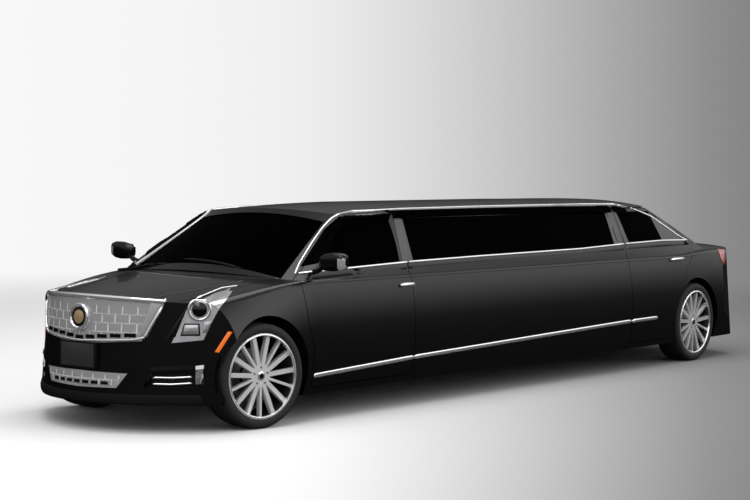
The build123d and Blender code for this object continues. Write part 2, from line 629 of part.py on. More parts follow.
def rim():
    """A wheel centred on its own centre, with its show face toward +X."""
    inner = RIM_RADIUS - BARREL_THICKNESS
    along_x = Rot(0, 90, 0)
    barrel = along_x * (Cylinder(RIM_RADIUS, RIM_WIDTH) - Cylinder(inner, RIM_WIDTH))
    face_start = SPOKE_FACE - SPOKE_DEPTH
    hub_length = SPOKE_FACE - HUB_BACK
    hub = Pos(HUB_BACK + hub_length / 2, 0, 0) * along_x * Cylinder(HUB_RADIUS, hub_length)
    bore = along_x * Cylinder(STUB_RADIUS + RUNNING_CLEARANCE, 2 * RIM_WIDTH)
    reach = inner + BARREL_THICKNESS / 2
    spokes = []
    for group in range(SPOKE_GROUPS):
        middle = 360 * group / SPOKE_GROUPS
        legs = [
            (middle - SPOKE_SPREAD_DEG, SPOKE_WIDTH),
            (middle + SPOKE_SPREAD_DEG, SPOKE_WIDTH),
            (middle + 180 / SPOKE_GROUPS, THIN_SPOKE_WIDTH),
        ]
        for angle, width in legs:
            bar = block((face_start, SPOKE_FACE), (-width / 2, width / 2), (0, reach))
            spokes.append(Rot(angle, 0, 0) * bar)
    return one(barrel.fuse(hub, *spokes) - bore)


def knuckle():
    """Left steering upright: a kingpin through two pads and a stub axle for the wheel."""
    reach = UPRIGHT_HALF_HEIGHT + ARM_THICKNESS
    half = UPRIGHT_SIZE / 2
    upright = block((-half, half), (-half, half), (-UPRIGHT_HALF_HEIGHT, UPRIGHT_HALF_HEIGHT))
    pin = Cylinder(KINGPIN_RADIUS, reach * 2)
    stub_end = KINGPIN_INSET + SPOKE_FACE
    stub = Pos(stub_end / 2, 0, 0) * Rot(0, 90, 0) * Cylinder(STUB_RADIUS, stub_end)
    return steered(Pos(KINGPIN_X, FRONT_AXLE_Y, AXLE_HEIGHT) * upright.fuse(pin, stub))


def front_subframe():
    """Crossmember under the engine with an upper and a lower arm at each side."""
    top = AXLE_HEIGHT + UPRIGHT_HALF_HEIGHT + PANEL_GAP / 3
    bottom = AXLE_HEIGHT - UPRIGHT_HALF_HEIGHT - PANEL_GAP / 3
    y = (FRONT_AXLE_Y - ARM_HALF_WIDTH, FRONT_AXLE_Y + ARM_HALF_WIDTH)
    reach = KINGPIN_X + ARM_HALF_WIDTH
    cross_y = (FRONT_AXLE_Y - CROSSMEMBER_HALF_LENGTH, FRONT_AXLE_Y + CROSSMEMBER_HALF_LENGTH)
    low = block((-reach, reach), y, (bottom - ARM_THICKNESS, bottom))
    cross = block((-BAY_HALF_WIDTH, BAY_HALF_WIDTH), cross_y, (bottom - ARM_THICKNESS, bottom))
    frame = low.fuse(cross)
    for side in (-1, 1):
        ends = sorted((side * (BAY_HALF_WIDTH - ARM_HALF_WIDTH), side * reach))
        post = sorted((side * (BAY_HALF_WIDTH - ARM_HALF_WIDTH), side * BAY_HALF_WIDTH))
        frame = frame.fuse(block(ends, y, (top, top + ARM_THICKNESS)), block(post, y, (bottom, top + ARM_THICKNESS)))
        hole = Pos(side * KINGPIN_X, FRONT_AXLE_Y, AXLE_HEIGHT) * Cylinder(
            KINGPIN_RADIUS + RUNNING_CLEARANCE, 4 * UPRIGHT_HALF_HEIGHT
        )
        frame = frame - hole
    return one(frame)


def rear_axle():
    stub_end = HALF_REAR_TRACK + SPOKE_FACE
    beam_end = HALF_REAR_TRACK + HUB_BACK - PANEL_GAP
    along_x = Rot(0, 90, 0)
    beam = along_x * Cylinder(AXLE_BEAM_RADIUS, 2 * beam_end)
    stubs = along_x * Cylinder(STUB_RADIUS, 2 * stub_end)
    axle = Pos(0, REAR_AXLE_Y, AXLE_HEIGHT) * (beam + stubs)
    plate = SEAT_PLATFORM_TOP - PLATE_THICKNESS
    for side in (-1, 1):
        ends = sorted((side * (PLATFORM_HALF_WIDTH - 2 * AXLE_BEAM_RADIUS), side * PLATFORM_HALF_WIDTH))
        axle = axle.fuse(
            block(ends, (REAR_AXLE_Y - AXLE_BEAM_RADIUS, REAR_AXLE_Y + AXLE_BEAM_RADIUS), (AXLE_HEIGHT, plate))
        )
    return one(axle)


def seat(x, y_front, z, half_width):
    cushion = block((x - half_width, x + half_width), (y_front, y_front + CUSHION_LENGTH), (z, z + CUSHION_HEIGHT))
    back_start = y_front + CUSHION_LENGTH - BACKREST_THICKNESS
    back = block(
        (x - half_width, x + half_width), (back_start, back_start + BACKREST_THICKNESS), (z, z + BACKREST_HEIGHT)
    )
    return cushion + back


def running_gear():
    nodes = {"front_subframe": front_subframe(), "rear_axle": rear_axle()}
    left_knuckle = knuckle()
    nodes["knuckle_left"] = left_knuckle
    nodes["knuckle_right"] = mirrored(steered(left_knuckle, turn=-2 * REST_STEER_DEG))
    wheel, ring = rim(), tyre()
    for name, shape in (("rim", wheel), ("tyre", ring)):
        front = Pos(HALF_FRONT_TRACK, FRONT_AXLE_Y, AXLE_HEIGHT) * shape
        rear = Pos(HALF_REAR_TRACK, REAR_AXLE_Y, AXLE_HEIGHT) * shape
        nodes[f"{name}_front_left"] = steered(front)
        nodes[f"{name}_front_right"] = mirrored(steered(front, turn=-REST_STEER_DEG))
        nodes[f"{name}_rear_left"] = rear
        nodes[f"{name}_rear_right"] = mirrored(rear)
    return nodes


def furniture():
    """Engine block, dashboard and seats, each a plain mass at its real place."""
    half = ENGINE_SIZE / 2
    bottom = AXLE_HEIGHT - UPRIGHT_HALF_HEIGHT - PANEL_GAP / 3
    engine = block(
        (-half, half),
        (FRONT_AXLE_Y - half - half / 3, FRONT_AXLE_Y + half / 3),
        (bottom, bottom + ENGINE_SIZE * 4 / 5),
    )
    dash_start = FRONT_AXLE_Y + FIREWALL_BACKSET + FIREWALL_THICKNESS
    dash_low = GREENHOUSE_FOOT_HEIGHT - CUSHION_HEIGHT
    dashboard = block(
        (-DASH_HALF_WIDTH, DASH_HALF_WIDTH),
        (dash_start, dash_start + DASH_DEPTH),
        (dash_low, GREENHOUSE_FOOT_HEIGHT),
    )
    wheel_centre = Pos(SEAT_CENTRE, dash_start + DASH_DEPTH + COLUMN_LENGTH, (dash_low + GREENHOUSE_FOOT_HEIGHT) / 2)
    tilt = Rot(90 - COLUMN_TILT_DEG, 0, 0)
    column = wheel_centre * tilt * Pos(0, 0, COLUMN_LENGTH) * Cylinder(COLUMN_RADIUS, 2 * COLUMN_LENGTH)
    spoke_length = 2 * STEERING_WHEEL_RADIUS - COLUMN_RADIUS
    ring = Cylinder(STEERING_WHEEL_RADIUS, COLUMN_RADIUS) - Cylinder(STEERING_WHEEL_RADIUS - COLUMN_RADIUS, COLUMN_RADIUS)
    steering = wheel_centre * tilt * ring
    bar = wheel_centre * tilt * Box(spoke_length, COLUMN_RADIUS, COLUMN_RADIUS / 2)
    dashboard = dashboard.fuse(column, steering, bar)
    front_y = FRONT_AXLE_Y + FRONT_DOOR_REACH - CUSHION_LENGTH - FRONT_SEAT_FORESET
    seats = [seat(side * SEAT_CENTRE, front_y, SILL_TOP, SEAT_HALF_WIDTH) for side in (-1, 1)]
    joined = block(
        (-SEAT_CENTRE, SEAT_CENTRE), (front_y, front_y + CUSHION_LENGTH - BACKREST_THICKNESS), (SILL_TOP, SILL_TOP + CUSHION_HEIGHT / 2)
    )
    rear_y = REAR_AXLE_Y + REAR_SEAT_BACKSET - CUSHION_LENGTH
    rear = seat(0, rear_y, SEAT_PLATFORM_TOP, PLATFORM_HALF_WIDTH - PLATE_THICKNESS)
    bench_start = FRONT_AXLE_Y + FRONT_DOOR_REACH + BENCH_BACKSET
    bench_end = REAR_HINGE_Y - BENCH_BACKSET
    inner = CABIN_HALF_WIDTH - PANEL_GAP - CUSHION_LENGTH
    bench = block((-CABIN_HALF_WIDTH + PANEL_GAP, -inner), (bench_start, bench_end), (SILL_TOP, SILL_TOP + CUSHION_HEIGHT))
    bench = bench.fuse(
        block(
            (-CABIN_HALF_WIDTH + PANEL_GAP, -CABIN_HALF_WIDTH + PANEL_GAP + BACKREST_THICKNESS),
            (bench_start, bench_end),
            (SILL_TOP, SILL_TOP + BACKREST_HEIGHT - PLATE_THICKNESS),
        )
    )
    return {
        "engine": engine,
        "dashboard": one(dashboard),
        "front_seats": one(seats[0].fuse(seats[1], joined)),
        "rear_seat": one(rear),
        "side_bench": one(bench),
    }


def door_mirror(door):
    """A left door mirror whose foot is cut to sit on the door's skin."""
    y = FRONT_AXLE_Y + MIRROR_BACKSET
    head = block(
        (HALF_WIDTH - MIRROR_DEPTH / 4, HALF_WIDTH + MIRROR_REACH),
        (y - MIRROR_DEPTH, y),
        (MIRROR_BASE_HEIGHT + MIRROR_HEIGHT / 6, MIRROR_BASE_HEIGHT + MIRROR_HEIGHT * 7 / 6),
    )
    head = fillet(head.edges().group_by(Axis.X)[-1], MIRROR_DEPTH / 3)
    foot = block(
        (HALF_WIDTH - MIRROR_DEPTH * 3 / 2, HALF_WIDTH),
        (y - MIRROR_DEPTH * 3 / 4, y - MIRROR_DEPTH / 4),
        (MIRROR_BASE_HEIGHT, MIRROR_BASE_HEIGHT + MIRROR_HEIGHT / 3),
    )
    return head.fuse(foot) - door


def main():
    nodes = running_gear()
    nodes.update(furniture())
    lower = lower_body()
    outer = greenhouse()
    slipped = Pos(0, 0, -LID_THICKNESS) * lower
    nodes["hood"] = (lower - slipped) & hood_prism()
    slipped_lid = Pos(0, -LID_THICKNESS, -LID_THICKNESS) * lower
    plate_holes = [
        Pos(side * PLATE_HOLE_SPACING / 2, TAIL_Y, PLATE_HOLE_HEIGHT) * Rot(90, 0, 0) * Cylinder(PLATE_HOLE_RADIUS, OVERRUN)
        for side in (-1, 1)
    ]
    nodes["trunk_lid"] = ((lower - slipped_lid) & lid_prism()).cut(*plate_holes)
    deeper = LID_THICKNESS + PANEL_GAP
    hood_rear = FRONT_AXLE_Y + HOOD_REAR_BACKSET
    hood_seats = lid_seats((hood_rear - HINGE_SIZE, hood_rear + HOOD_REAR_BOW + HINGE_SIZE))
    hood_room = (hood_prism(PANEL_GAP) - hood_seats).fuse(hood_prism(HINGE_GAP)) - Pos(0, 0, -deeper) * lower
    lid_front = REAR_AXLE_Y + LID_FRONT_BACKSET
    boot_seats = lid_seats((lid_front - HINGE_SIZE, lid_front + HINGE_SIZE))
    lid_room = (lid_prism(PANEL_GAP) - boot_seats).fuse(lid_prism(HINGE_GAP)) - Pos(0, -deeper, -deeper) * lower
    print("lids")

    roof_wall = outer.cut(cabin_air(PILLAR_THICKNESS))
    lower_wall = lower.cut(cabin_air(PILLAR_THICKNESS), hood_room, lid_room, *hollows(), *wheel_wells())
    roof_wall = roof_wall.cut(lower, hood_prism(PANEL_GAP))
    print("walls")

    doors = [
        ("front", from_front_axle(FRONT_DOOR_FORE_SHARES, FRONT_DOOR_REACH),
         from_front_axle(FRONT_DOOR_REAR_SHARES, FRONT_DOOR_REACH), FRONT_DOOR_BEVEL_DEG,
         from_front_axle(FRONT_DOOR_GLASS_SHARES, FRONT_DOOR_REACH)),
        ("rear", from_rear_axle(REAR_DOOR_FORE_SHARES, REAR_DOOR_REACH),
         from_rear_axle(REAR_DOOR_REAR_SHARES, REAR_DOOR_REACH), REAR_DOOR_BEVEL_DEG,
         from_rear_axle(REAR_DOOR_GLASS_SHARES, REAR_DOOR_REACH)),
    ]
    glass_skin = greenhouse(GLASS_RECESS) - greenhouse(GLASS_RECESS + GLASS_THICKNESS)
    glass_skin = glass_skin & block((0, FAR), (-FAR, FAR), (BELT_HEIGHT, SKY))
    openings = []
    for name, fore, rear, bevel, window in doors:
        cutter = door_cutter(fore, rear, 0.0, bevel)
        window_prism = side_prism(window, HALF_WIDTH + OVERRUN, 0)
        lower_half = lower_wall & cutter
        upper_half = (roof_wall & cutter) - window_prism
        door = one(lower_half + upper_half)
        nodes[f"door_{name}_left"] = door
        nodes[f"door_glass_{name}_left"] = (glass_skin & window_prism) & cutter
        wide = door_cutter(fore, rear, PANEL_GAP, bevel) - hinge_seats(fore[0][0])
        wide = wide.fuse(door_cutter(fore, rear, HINGE_GAP, bevel))
        openings += [wide, mirrored(wide)]
        print("door", name)
    nodes["mirror_left"] = one(door_mirror(nodes["door_front_left"]) - nodes["door_glass_front_left"])
    long_window = from_front_axle(LONG_GLASS_FRONT_SHARES, FRONT_DOOR_REACH) + from_rear_axle(
        LONG_GLASS_REAR_SHARES, REAR_DOOR_REACH
    )
    long_prism = side_prism(long_window, HALF_WIDTH + OVERRUN, 0)
    nodes["side_glass_left"] = glass_skin & long_prism
    screens = [("windshield", True, WINDSCREEN_SHARES), ("rear_window", False, REAR_SCREEN_SHARES)]
    screen_cuts = []
    for name, front, shares in screens:
        prism = screen_prism(front, shares)
        layer = screen_cylinder(front, GLASS_RECESS) - screen_cylinder(front, GLASS_RECESS + GLASS_THICKNESS)
        nodes[name] = one((prism & outer) & layer)
        screen_cuts.append(prism)
    roof_rest = roof_wall.cut(*openings, long_prism, mirrored(long_prism), *screen_cuts)
    lower_rest = lower_wall.cut(*openings, *screen_cuts)
    print("openings")

    nose = nose_block(lower)
    lamp = lamp_room(nose)
    tail = side_prism(from_rear_axle([(-a, z) for a, z in TAIL_LAMP_SHARES], REAR_OVERHANG), FAR, TAIL_LAMP_INNER)
    nodes["headlamp_left"] = lower_rest & lamp
    nodes["tail_lamp_left"] = lower_rest & tail
    ends = (NOSE_Y - OVERRUN, FRONT_AXLE_Y - BAY_FRONT_FORESET)
    behind_grille = Pos(0, GRILLE_DEPTH, 0) * nose
    behind_grooves = Pos(0, GRILLE_RECESS, 0) * nose
    inlets = []
    for name, outline, field, rows in (
        ("grille", GRILLE_SHARES, GRILLE_FIELD_SHARES, GRILLE_ROWS),
        ("lower_grille", LOWER_GRILLE_SHARES, LOWER_GRILLE_FIELD_SHARES, LOWER_GRILLE_ROWS),
    ):
        inlet = front_prism(full_front(outline), *ends)
        grooves = grille_grooves(field, rows, *ends) - behind_grooves
        nodes[name] = ((lower_rest & inlet) - behind_grille) - grooves
        inlets.append(inlet)
        print(name)
    lower_rest = lower_rest.cut(lamp, mirrored(lamp), tail, mirrored(tail), *inlets)
    fog = [(x * HALF_WIDTH, z * ROOF_HEIGHT) for x, z in FOG_SHARES]
    pocket = front_prism(fog, NOSE_Y - OVERRUN, FRONT_AXLE_Y - FRONT_BUMPER_FORESET) - Pos(0, FOG_DEPTH, 0) * nose
    print("lamps")

    bumper_seam = FRONT_AXLE_Y - FRONT_BUMPER_FORESET
    under = GROUND_CLEARANCE - OVERRUN
    front_bumper_zone = block((-FAR, FAR), (-FAR, bumper_seam), (under, BUMPER_TOP)).fuse(
        block(
            (-FRONT_BUMPER_HALF_WIDTH, FRONT_BUMPER_HALF_WIDTH),
            (-FAR, FRONT_AXLE_Y - BAY_FRONT_FORESET),
            (under, SKY),
        )
    )
    rear_bumper_zone = block(
        (-FAR, FAR), (REAR_AXLE_Y + REAR_BUMPER_BACKSET, FAR), (under, REAR_BUMPER_TOP)
    ).fuse(
        block(
            (-TAIL_LAMP_INNER, TAIL_LAMP_INNER),
            (REAR_AXLE_Y + BOOT_REAR_BACKSET - PLATE_THICKNESS, FAR),
            (under, SKY),
        )
    )
    floor_zone = block(
        (-CABIN_HALF_WIDTH, CABIN_HALF_WIDTH),
        (FRONT_AXLE_Y + FIREWALL_BACKSET, REAR_AXLE_Y - SEAT_PLATFORM_FORESET),
        (under, SKY),
    ).fuse(
        block(
            (-PLATFORM_HALF_WIDTH, PLATFORM_HALF_WIDTH),
            (REAR_AXLE_Y - SEAT_PLATFORM_FORESET, REAR_AXLE_Y + BOOT_REAR_BACKSET - PLATE_THICKNESS),
            (under, SKY),
        )
    )
    tow_hole = Pos(-TOW_HOLE_OFFSET, NOSE_Y, TOW_HOLE_HEIGHT) * Rot(90, 0, 0) * Cylinder(TOW_HOLE_RADIUS, 2 * TOW_HOLE_DEPTH)
    nodes["front_bumper"] = (lower_rest & front_bumper_zone).cut(tow_hole, pocket, mirrored(pocket))
    nodes["rear_bumper"] = lower_rest & rear_bumper_zone
    left_rest = (lower_rest & block((0, FAR), (-FAR, FAR), (under, SKY))).cut(
        front_bumper_zone, rear_bumper_zone, floor_zone
    )
    middle_rest = (lower_rest.cut(front_bumper_zone, rear_bumper_zone) & floor_zone).solids().sort_by(SortBy.VOLUME)
    around_boot = block(
        (-PLATFORM_HALF_WIDTH, PLATFORM_HALF_WIDTH), (REAR_AXLE_Y + REAR_SEAT_BACKSET, FAR), (SEAT_PLATFORM_TOP, SKY)
    )
    nodes["floor_pan"] = middle_rest[-1] - around_boot
    nodes["parcel_shelf"] = middle_rest[-1] & around_boot
    nodes["roof_shell"] = one(roof_rest) + middle_rest[0]
    seam_y = FRONT_AXLE_Y + FENDER_SEAM_BACKSET
    nodes["fender_left"] = left_rest & block((0, FAR), (-FAR, seam_y), (under, SKY))
    nodes["body_side_left"] = left_rest & block((0, FAR), (seam_y, FAR), (under, SKY))
    print("panels")
    for name, shape in nodes.items():
        solids = sorted(shape.solids(), key=lambda s: -s.volume)
        print(name, len(solids), [round(s.volume / 1e6, 3) for s in solids][:8], all(s.is_valid for s in solids))
        for s in solids[1:]:
            b = s.bounding_box()
            print("   extra", [round(v) for v in (b.min.X, b.min.Y - FRONT_AXLE_Y, b.min.Z, b.max.X, b.max.Y - FRONT_AXLE_Y, b.max.Z)])
    whole = {}
    for name, shape in nodes.items():
        whole[name] = one(shape)
        if name.endswith("_left") and name.replace("_left", "_right") not in nodes:
            whole[name.replace("_left", "_right")] = mirrored(whole[name])
    return whole


if __name__ == "__main__":
    os.makedirs("parts", exist_ok=True)
    for node, shape in main().items():
        export_step(shape, f"parts/{node}.step")
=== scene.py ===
import bpy
import bmesh
import math
import numpy as np
from mathutils import Matrix, Vector
from mathutils.bvhtree import BVHTree


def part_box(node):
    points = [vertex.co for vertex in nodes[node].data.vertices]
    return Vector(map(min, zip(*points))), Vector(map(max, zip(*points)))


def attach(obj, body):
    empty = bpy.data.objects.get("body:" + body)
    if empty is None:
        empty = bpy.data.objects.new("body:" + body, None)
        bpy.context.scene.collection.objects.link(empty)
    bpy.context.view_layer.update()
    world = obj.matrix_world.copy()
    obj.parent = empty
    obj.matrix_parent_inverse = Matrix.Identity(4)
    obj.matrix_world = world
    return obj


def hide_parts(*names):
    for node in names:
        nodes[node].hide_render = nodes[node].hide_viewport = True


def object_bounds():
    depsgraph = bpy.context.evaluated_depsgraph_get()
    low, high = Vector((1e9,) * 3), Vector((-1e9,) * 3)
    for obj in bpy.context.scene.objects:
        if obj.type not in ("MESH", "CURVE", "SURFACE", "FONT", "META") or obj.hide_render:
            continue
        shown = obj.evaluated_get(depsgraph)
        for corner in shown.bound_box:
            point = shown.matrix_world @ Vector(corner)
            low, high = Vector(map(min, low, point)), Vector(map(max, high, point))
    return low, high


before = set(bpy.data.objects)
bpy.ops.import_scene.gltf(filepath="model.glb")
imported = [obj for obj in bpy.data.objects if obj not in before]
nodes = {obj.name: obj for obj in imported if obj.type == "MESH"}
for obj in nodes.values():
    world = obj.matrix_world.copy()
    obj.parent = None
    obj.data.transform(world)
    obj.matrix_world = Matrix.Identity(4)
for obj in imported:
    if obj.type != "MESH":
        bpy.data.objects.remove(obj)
bounds_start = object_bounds()
scene = bpy.context.scene
SIDES = (("left", 1), ("right", -1))
ENDS = ("front", "rear")


# Places taken from the CAD
def middle(name):
    low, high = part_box(name)
    return (Vector(low) + Vector(high)) / 2


FRONT_AXLE = (middle("tyre_front_left").y + middle("tyre_front_right").y) / 2
NOSE = Vector(bounds_start[0]).y
TAIL = Vector(bounds_start[1]).y
TYRE_RADIUS = (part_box("tyre_rear_left")[1][2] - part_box("tyre_rear_left")[0][2]) / 2
TYRE_HALF = (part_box("tyre_rear_left")[1][0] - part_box("tyre_rear_left")[0][0]) / 2
RIM_RADIUS = (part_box("rim_rear_left")[1][2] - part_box("rim_rear_left")[0][2]) / 2

# Camera, fitted to the photograph. Metres, degrees, and the focal length in pixels
CAM = dict(x=9.1847, foreset=9.544, z=1.8277, yaw=37.7929, pitch=2.8543, roll=0.7213, focal=1912.8)
CAM_AT = Vector((CAM["x"], FRONT_AXLE - CAM["foreset"], CAM["z"]))
PICTURE_WIDTH, PICTURE_HEIGHT = 750, 500
SENSOR_MM = 36.0
CLIP_END = 200


def add_camera():
    yaw, pitch, roll = (math.radians(CAM[k]) for k in ("yaw", "pitch", "roll"))
    ahead = Vector((-math.sin(yaw) * math.cos(pitch), math.cos(yaw) * math.cos(pitch), -math.sin(pitch)))
    right = ahead.cross(Vector((0, 0, 1))).normalized()
    up = right.cross(ahead)
    tilted_right = right * math.cos(roll) + up * math.sin(roll)
    tilted_up = up * math.cos(roll) - right * math.sin(roll)
    data = bpy.data.cameras.new("camera")
    data.sensor_width = SENSOR_MM
    data.lens = CAM["focal"] / PICTURE_WIDTH * SENSOR_MM
    data.clip_end = CLIP_END
    cam = bpy.data.objects.new("camera", data)
    turn = Matrix((tilted_right, tilted_up, -ahead)).transposed().to_4x4()
    cam.matrix_world = Matrix.Translation(CAM_AT) @ turn
    scene.collection.objects.link(cam)
    scene.camera = cam
    return tilted_right, tilted_up, ahead


CAM_RIGHT, CAM_UP, CAM_AHEAD = add_camera()

# Marks of the picture, in its pixels, that seen() lays on the skin
MARKS = dict(
    upper_trim=[(294.7, 274.3), (299.1, 263.9), (311.9, 242.8), (322.1, 228.4), (330.4, 219.2), (338.7, 214.1),
                (351.4, 211.3), (371.8, 210.6), (399.9, 209.0), (480, 206.5), (580, 204.3), (613.7, 204.1),
                (634, 209.4), (650, 216), (665, 226.4), (679, 236.4), (688, 241)],
    quarter_pane=[(300.5, 266.5), (324, 229.8), (348, 221), (322, 262)],
    upper_pane=[(324, 229.8), (338.5, 217), (390.5, 213.6), (388.5, 221)],
    head_band=[(378, 215.1), (399.9, 213.8), (480, 211.3), (580, 209.2), (613.7, 209.2), (634, 213)],
    grille_top=[(79, 295.4), (110, 297.4), (140, 299.6), (165.6, 301.8)],
    grille_foot=[(79, 340), (110, 340.4), (135, 339.8), (144.8, 337.4)],
    grille_side=[(165.4, 301), (160, 310.5), (154.6, 320), (149.5, 329), (145.6, 336.4)],
    belt_trim=[(296, 274), (328.5, 270.3), (412.7, 261.6), (480, 256.2), (580, 249), (628, 243.6),
               (661.6, 240.6), (689, 240)],
    sill_band=[(304, 277), (412.7, 265.4), (480, 260), (580, 252.6), (628, 247), (661.6, 243.6), (684, 242.6)],
    rocker=[(312, 376), (413, 357), (520, 339.3), (625, 322), (657, 317.6)],
    b_pillar=[(392, 211.6), (400, 211.4), (413, 261), (402.4, 262)],
    c_pillar=[(602.4, 206), (609.8, 206), (623, 243.6), (614.2, 244.3)],
    c_door_pillar=[(611, 206.2), (613, 206.4), (629, 243), (625, 243.4)],
    sail=[(648, 212.5), (662, 240), (683, 239.6), (664, 221.5)],
    front_handle=[(399.4, 285.9), (413.4, 283.8)],
    rear_handle=[(670, 260.5), (683, 258.3)],
    projector=[(199.5, 309.5)],
    lamp_cell=[(182.4, 334.4), (198.8, 334.4), (198, 325), (185, 325)],
    lamp_cell_rim=[(180.4, 336), (200.4, 336), (199.6, 323.6), (184.2, 323.6)],
    outer_cell=[(204.5, 322), (212.5, 321), (207, 333), (202.5, 333)],
    upper_reflector=[(214, 294), (231, 288), (225, 296), (212, 304)],
    lamp_brow=[(189.5, 303.5), (199, 297), (221, 287.8), (237, 285.6)],
    lamp_shadow=[(188.6, 304.6), (187, 306.5), (164.5, 341), (175.4, 337)],
    marker=[(228, 331.5), (232.4, 332), (219, 352.5), (214.8, 352)],
    fog_surround=[(150, 367), (193, 365.5), (193, 385), (154, 387)],
    fog_bar_upper=[(152, 377.5), (172, 378), (192, 377)],
    fog_bar_lower=[(153, 384), (172, 384.5), (192, 383.2)],
    fog_lamp=[(195.5, 366), (204, 365), (203, 384), (195.5, 384.5)],
    grille_wing=[(151, 303), (164, 304.5), (144.6, 335.8), (139, 335.5)],
    tail_glow=[(717.5, 249.2), (724.3, 249.8), (725, 264), (722, 262.5)],
)

# Shader nodes
MIX_DARK, MIX_LIGHT, MIX_COLOR = 6, 7, 2  # sockets of the Mix node in its RGBA form
COAT_ROUGHNESS = 0.03
NOISE_DETAIL = 4
BUMP_DISTANCE = 0.002


def add_node(tree, kind, links=None, values=None, **settings):
    """A shader node with its settings, the constants of its inputs, and what is linked to them."""
    node = tree.nodes.new("ShaderNode" + kind)
    for key, value in settings.items():
        setattr(node, key, value)
    for key, value in (values or {}).items():
        node.inputs[key].default_value = value
    for key, socket in (links or {}).items():
        tree.links.new(socket, node.inputs[key])
    return node


def map_range(tree, socket, start=(0, 1), end=(0, 1), kind="LINEAR"):
    values = {"From Min": start[0], "From Max": start[1], "To Min": end[0], "To Max": end[1]}
    return add_node(tree, "MapRange", {"Value": socket}, values, interpolation_type=kind).outputs["Result"]


def dot_with(tree, socket, way):
    return add_node(tree, "VectorMath", {0: socket}, {1: way}, operation="DOT_PRODUCT").outputs["Value"]


def combine(tree, operation, first, second, **settings):
    return add_node(tree, "Math", {0: first, 1: second}, operation=operation, **settings).outputs[0]


def material(name, color, rough=0.5, metal=0.0, coat=0.0, emission=0.0, noise=0.0, noise_scale=30.0, bump=0.0,
             specular=0.5, tint=0.0):
    """A finish with a grain: noise is its share in the roughness, tint in the colour, bump in the relief."""
    mat = bpy.data.materials.new(name)
    mat.use_nodes = True
    tree = mat.node_tree
    shader = tree.nodes["Principled BSDF"]
    values = {"Base Color": (*color, 1), "Roughness": rough, "Metallic": metal, "Specular IOR Level": specular,
              "Coat Weight": coat, "Coat Roughness": COAT_ROUGHNESS}
    if emission:
        values.update({"Emission Color": (*color, 1), "Emission Strength": emission})
    for key, value in values.items():
        shader.inputs[key].default_value = value
    place = add_node(tree, "TexCoord")
    grain = add_node(tree, "TexNoise", {"Vector": place.outputs["Object"]},
                     {"Scale": noise_scale, "Detail": NOISE_DETAIL}).outputs["Fac"]
    roughness = map_range(tree, grain, end=(max(0.0, rough - noise), rough + noise))
    tree.links.new(roughness, shader.inputs["Roughness"])
    if tint:
        dark = (*(c * (1 - tint) for c in color), 1)
        light = (*(min(1.0, c * (1 + tint)) for c in color), 1)
        shade = add_node(tree, "Mix", {"Factor": grain}, {MIX_DARK: dark, MIX_LIGHT: light}, data_type="RGBA")
        tree.links.new(shade.outputs[MIX_COLOR], shader.inputs["Base Color"])
    if bump:
        relief = add_node(tree, "Bump", {"Height": grain}, {"Strength": bump, "Distance": BUMP_DISTANCE})
        tree.links.new(relief.outputs["Normal"], shader.inputs["Normal"])
    return mat


# Finishes
PAINT = material("paint", (0.0022, 0.0018, 0.0021), rough=0.36, coat=0.42, noise=0.03, noise_scale=2.5,
                 specular=0.1, tint=0.15)
GLASS = material("dark_glass", (0.0006, 0.0003, 0.0006), rough=0.06, noise=0.015, noise_scale=2.0,
                 specular=0.001)
CHROME = material("chrome", (0.82, 0.82, 0.83), rough=0.16, metal=0.82, noise=0.03, noise_scale=40, tint=0.03)
SATIN = material("satin_metal", (0.085, 0.085, 0.09), rough=0.45, metal=0.6, noise=0.05, noise_scale=60,
                 tint=0.06)
GRILLE = material("grille_metal", (0.34, 0.336, 0.34), rough=0.4, metal=0.4, noise=0.08, noise_scale=80,
                  tint=0.1)
BLACK = material("black_plastic", (0.004, 0.004, 0.004), rough=0.55, specular=0.12, noise=0.1, noise_scale=120,
                 bump=0.1, tint=0.2)
GLOSS = material("gloss_black", (0.003, 0.003, 0.003), rough=0.12, noise=0.03, noise_scale=15, tint=0.2)
RIM = material("rim_metal", (0.8, 0.8, 0.81), rough=0.24, metal=0.5, noise=0.05, noise_scale=50, tint=0.05)
RUBBER = material("rubber", (0.010, 0.010, 0.0105), rough=0.72, noise=0.1, noise_scale=60, bump=0.25, tint=0.2)
STEEL = material("dark_steel", (0.07, 0.07, 0.07), rough=0.5, metal=0.6, noise=0.15, noise_scale=30, bump=0.2,
                 tint=0.2)
# Painted shade: a near-black colour for the rim's barrel behind the spokes, where shade falls
PAINTED_SHADE_BARREL = material("rim_barrel_painted_shade", (0.06, 0.06, 0.065), rough=0.4, metal=0.8, noise=0.1, noise_scale=20, tint=0.2)
# Brake disc: its own dark steel colour, darkened further as painted shade inside the wheel
DISC = material("brake_disc", (0.16, 0.16, 0.16), rough=0.35, metal=1.0, noise=0.12, noise_scale=25, tint=0.1)
LEATHER = material("leather", (0.010, 0.010, 0.010), rough=0.55, noise=0.1, noise_scale=200, bump=0.25,
                   tint=0.2)
LENS = material("lamp_lens", (0.55, 0.555, 0.57), rough=0.14, metal=0.5, coat=1.0, noise=0.05, noise_scale=14,
                tint=0.35)
REFLECTOR = material("reflector", (0.75, 0.76, 0.78), rough=0.16, metal=0.85, noise=0.06, noise_scale=90,
                     tint=0.1)
RED = material("red_lens", (0.35, 0.008, 0.006), rough=0.12, coat=1.0, noise=0.04, noise_scale=50, tint=0.2)
AMBER = material("amber_lens", (0.75, 0.14, 0.01), rough=0.2, coat=1.0, emission=0.25, noise=0.05,
                 noise_scale=60, tint=0.1)
WHITE = material("clear_lens", (0.8, 0.8, 0.78), rough=0.12, coat=1.0, emission=0.15, noise=0.05,
                 noise_scale=60, tint=0.05)
JOINT = material("grille_joint", (0.95, 0.95, 0.96), rough=0.3, metal=0.3, noise=0.08, noise_scale=80,
                 tint=0.08)
BADGE = material("badge", (0.42, 0.3, 0.16), rough=0.3, metal=0.5, noise=0.08, noise_scale=90, tint=0.15)
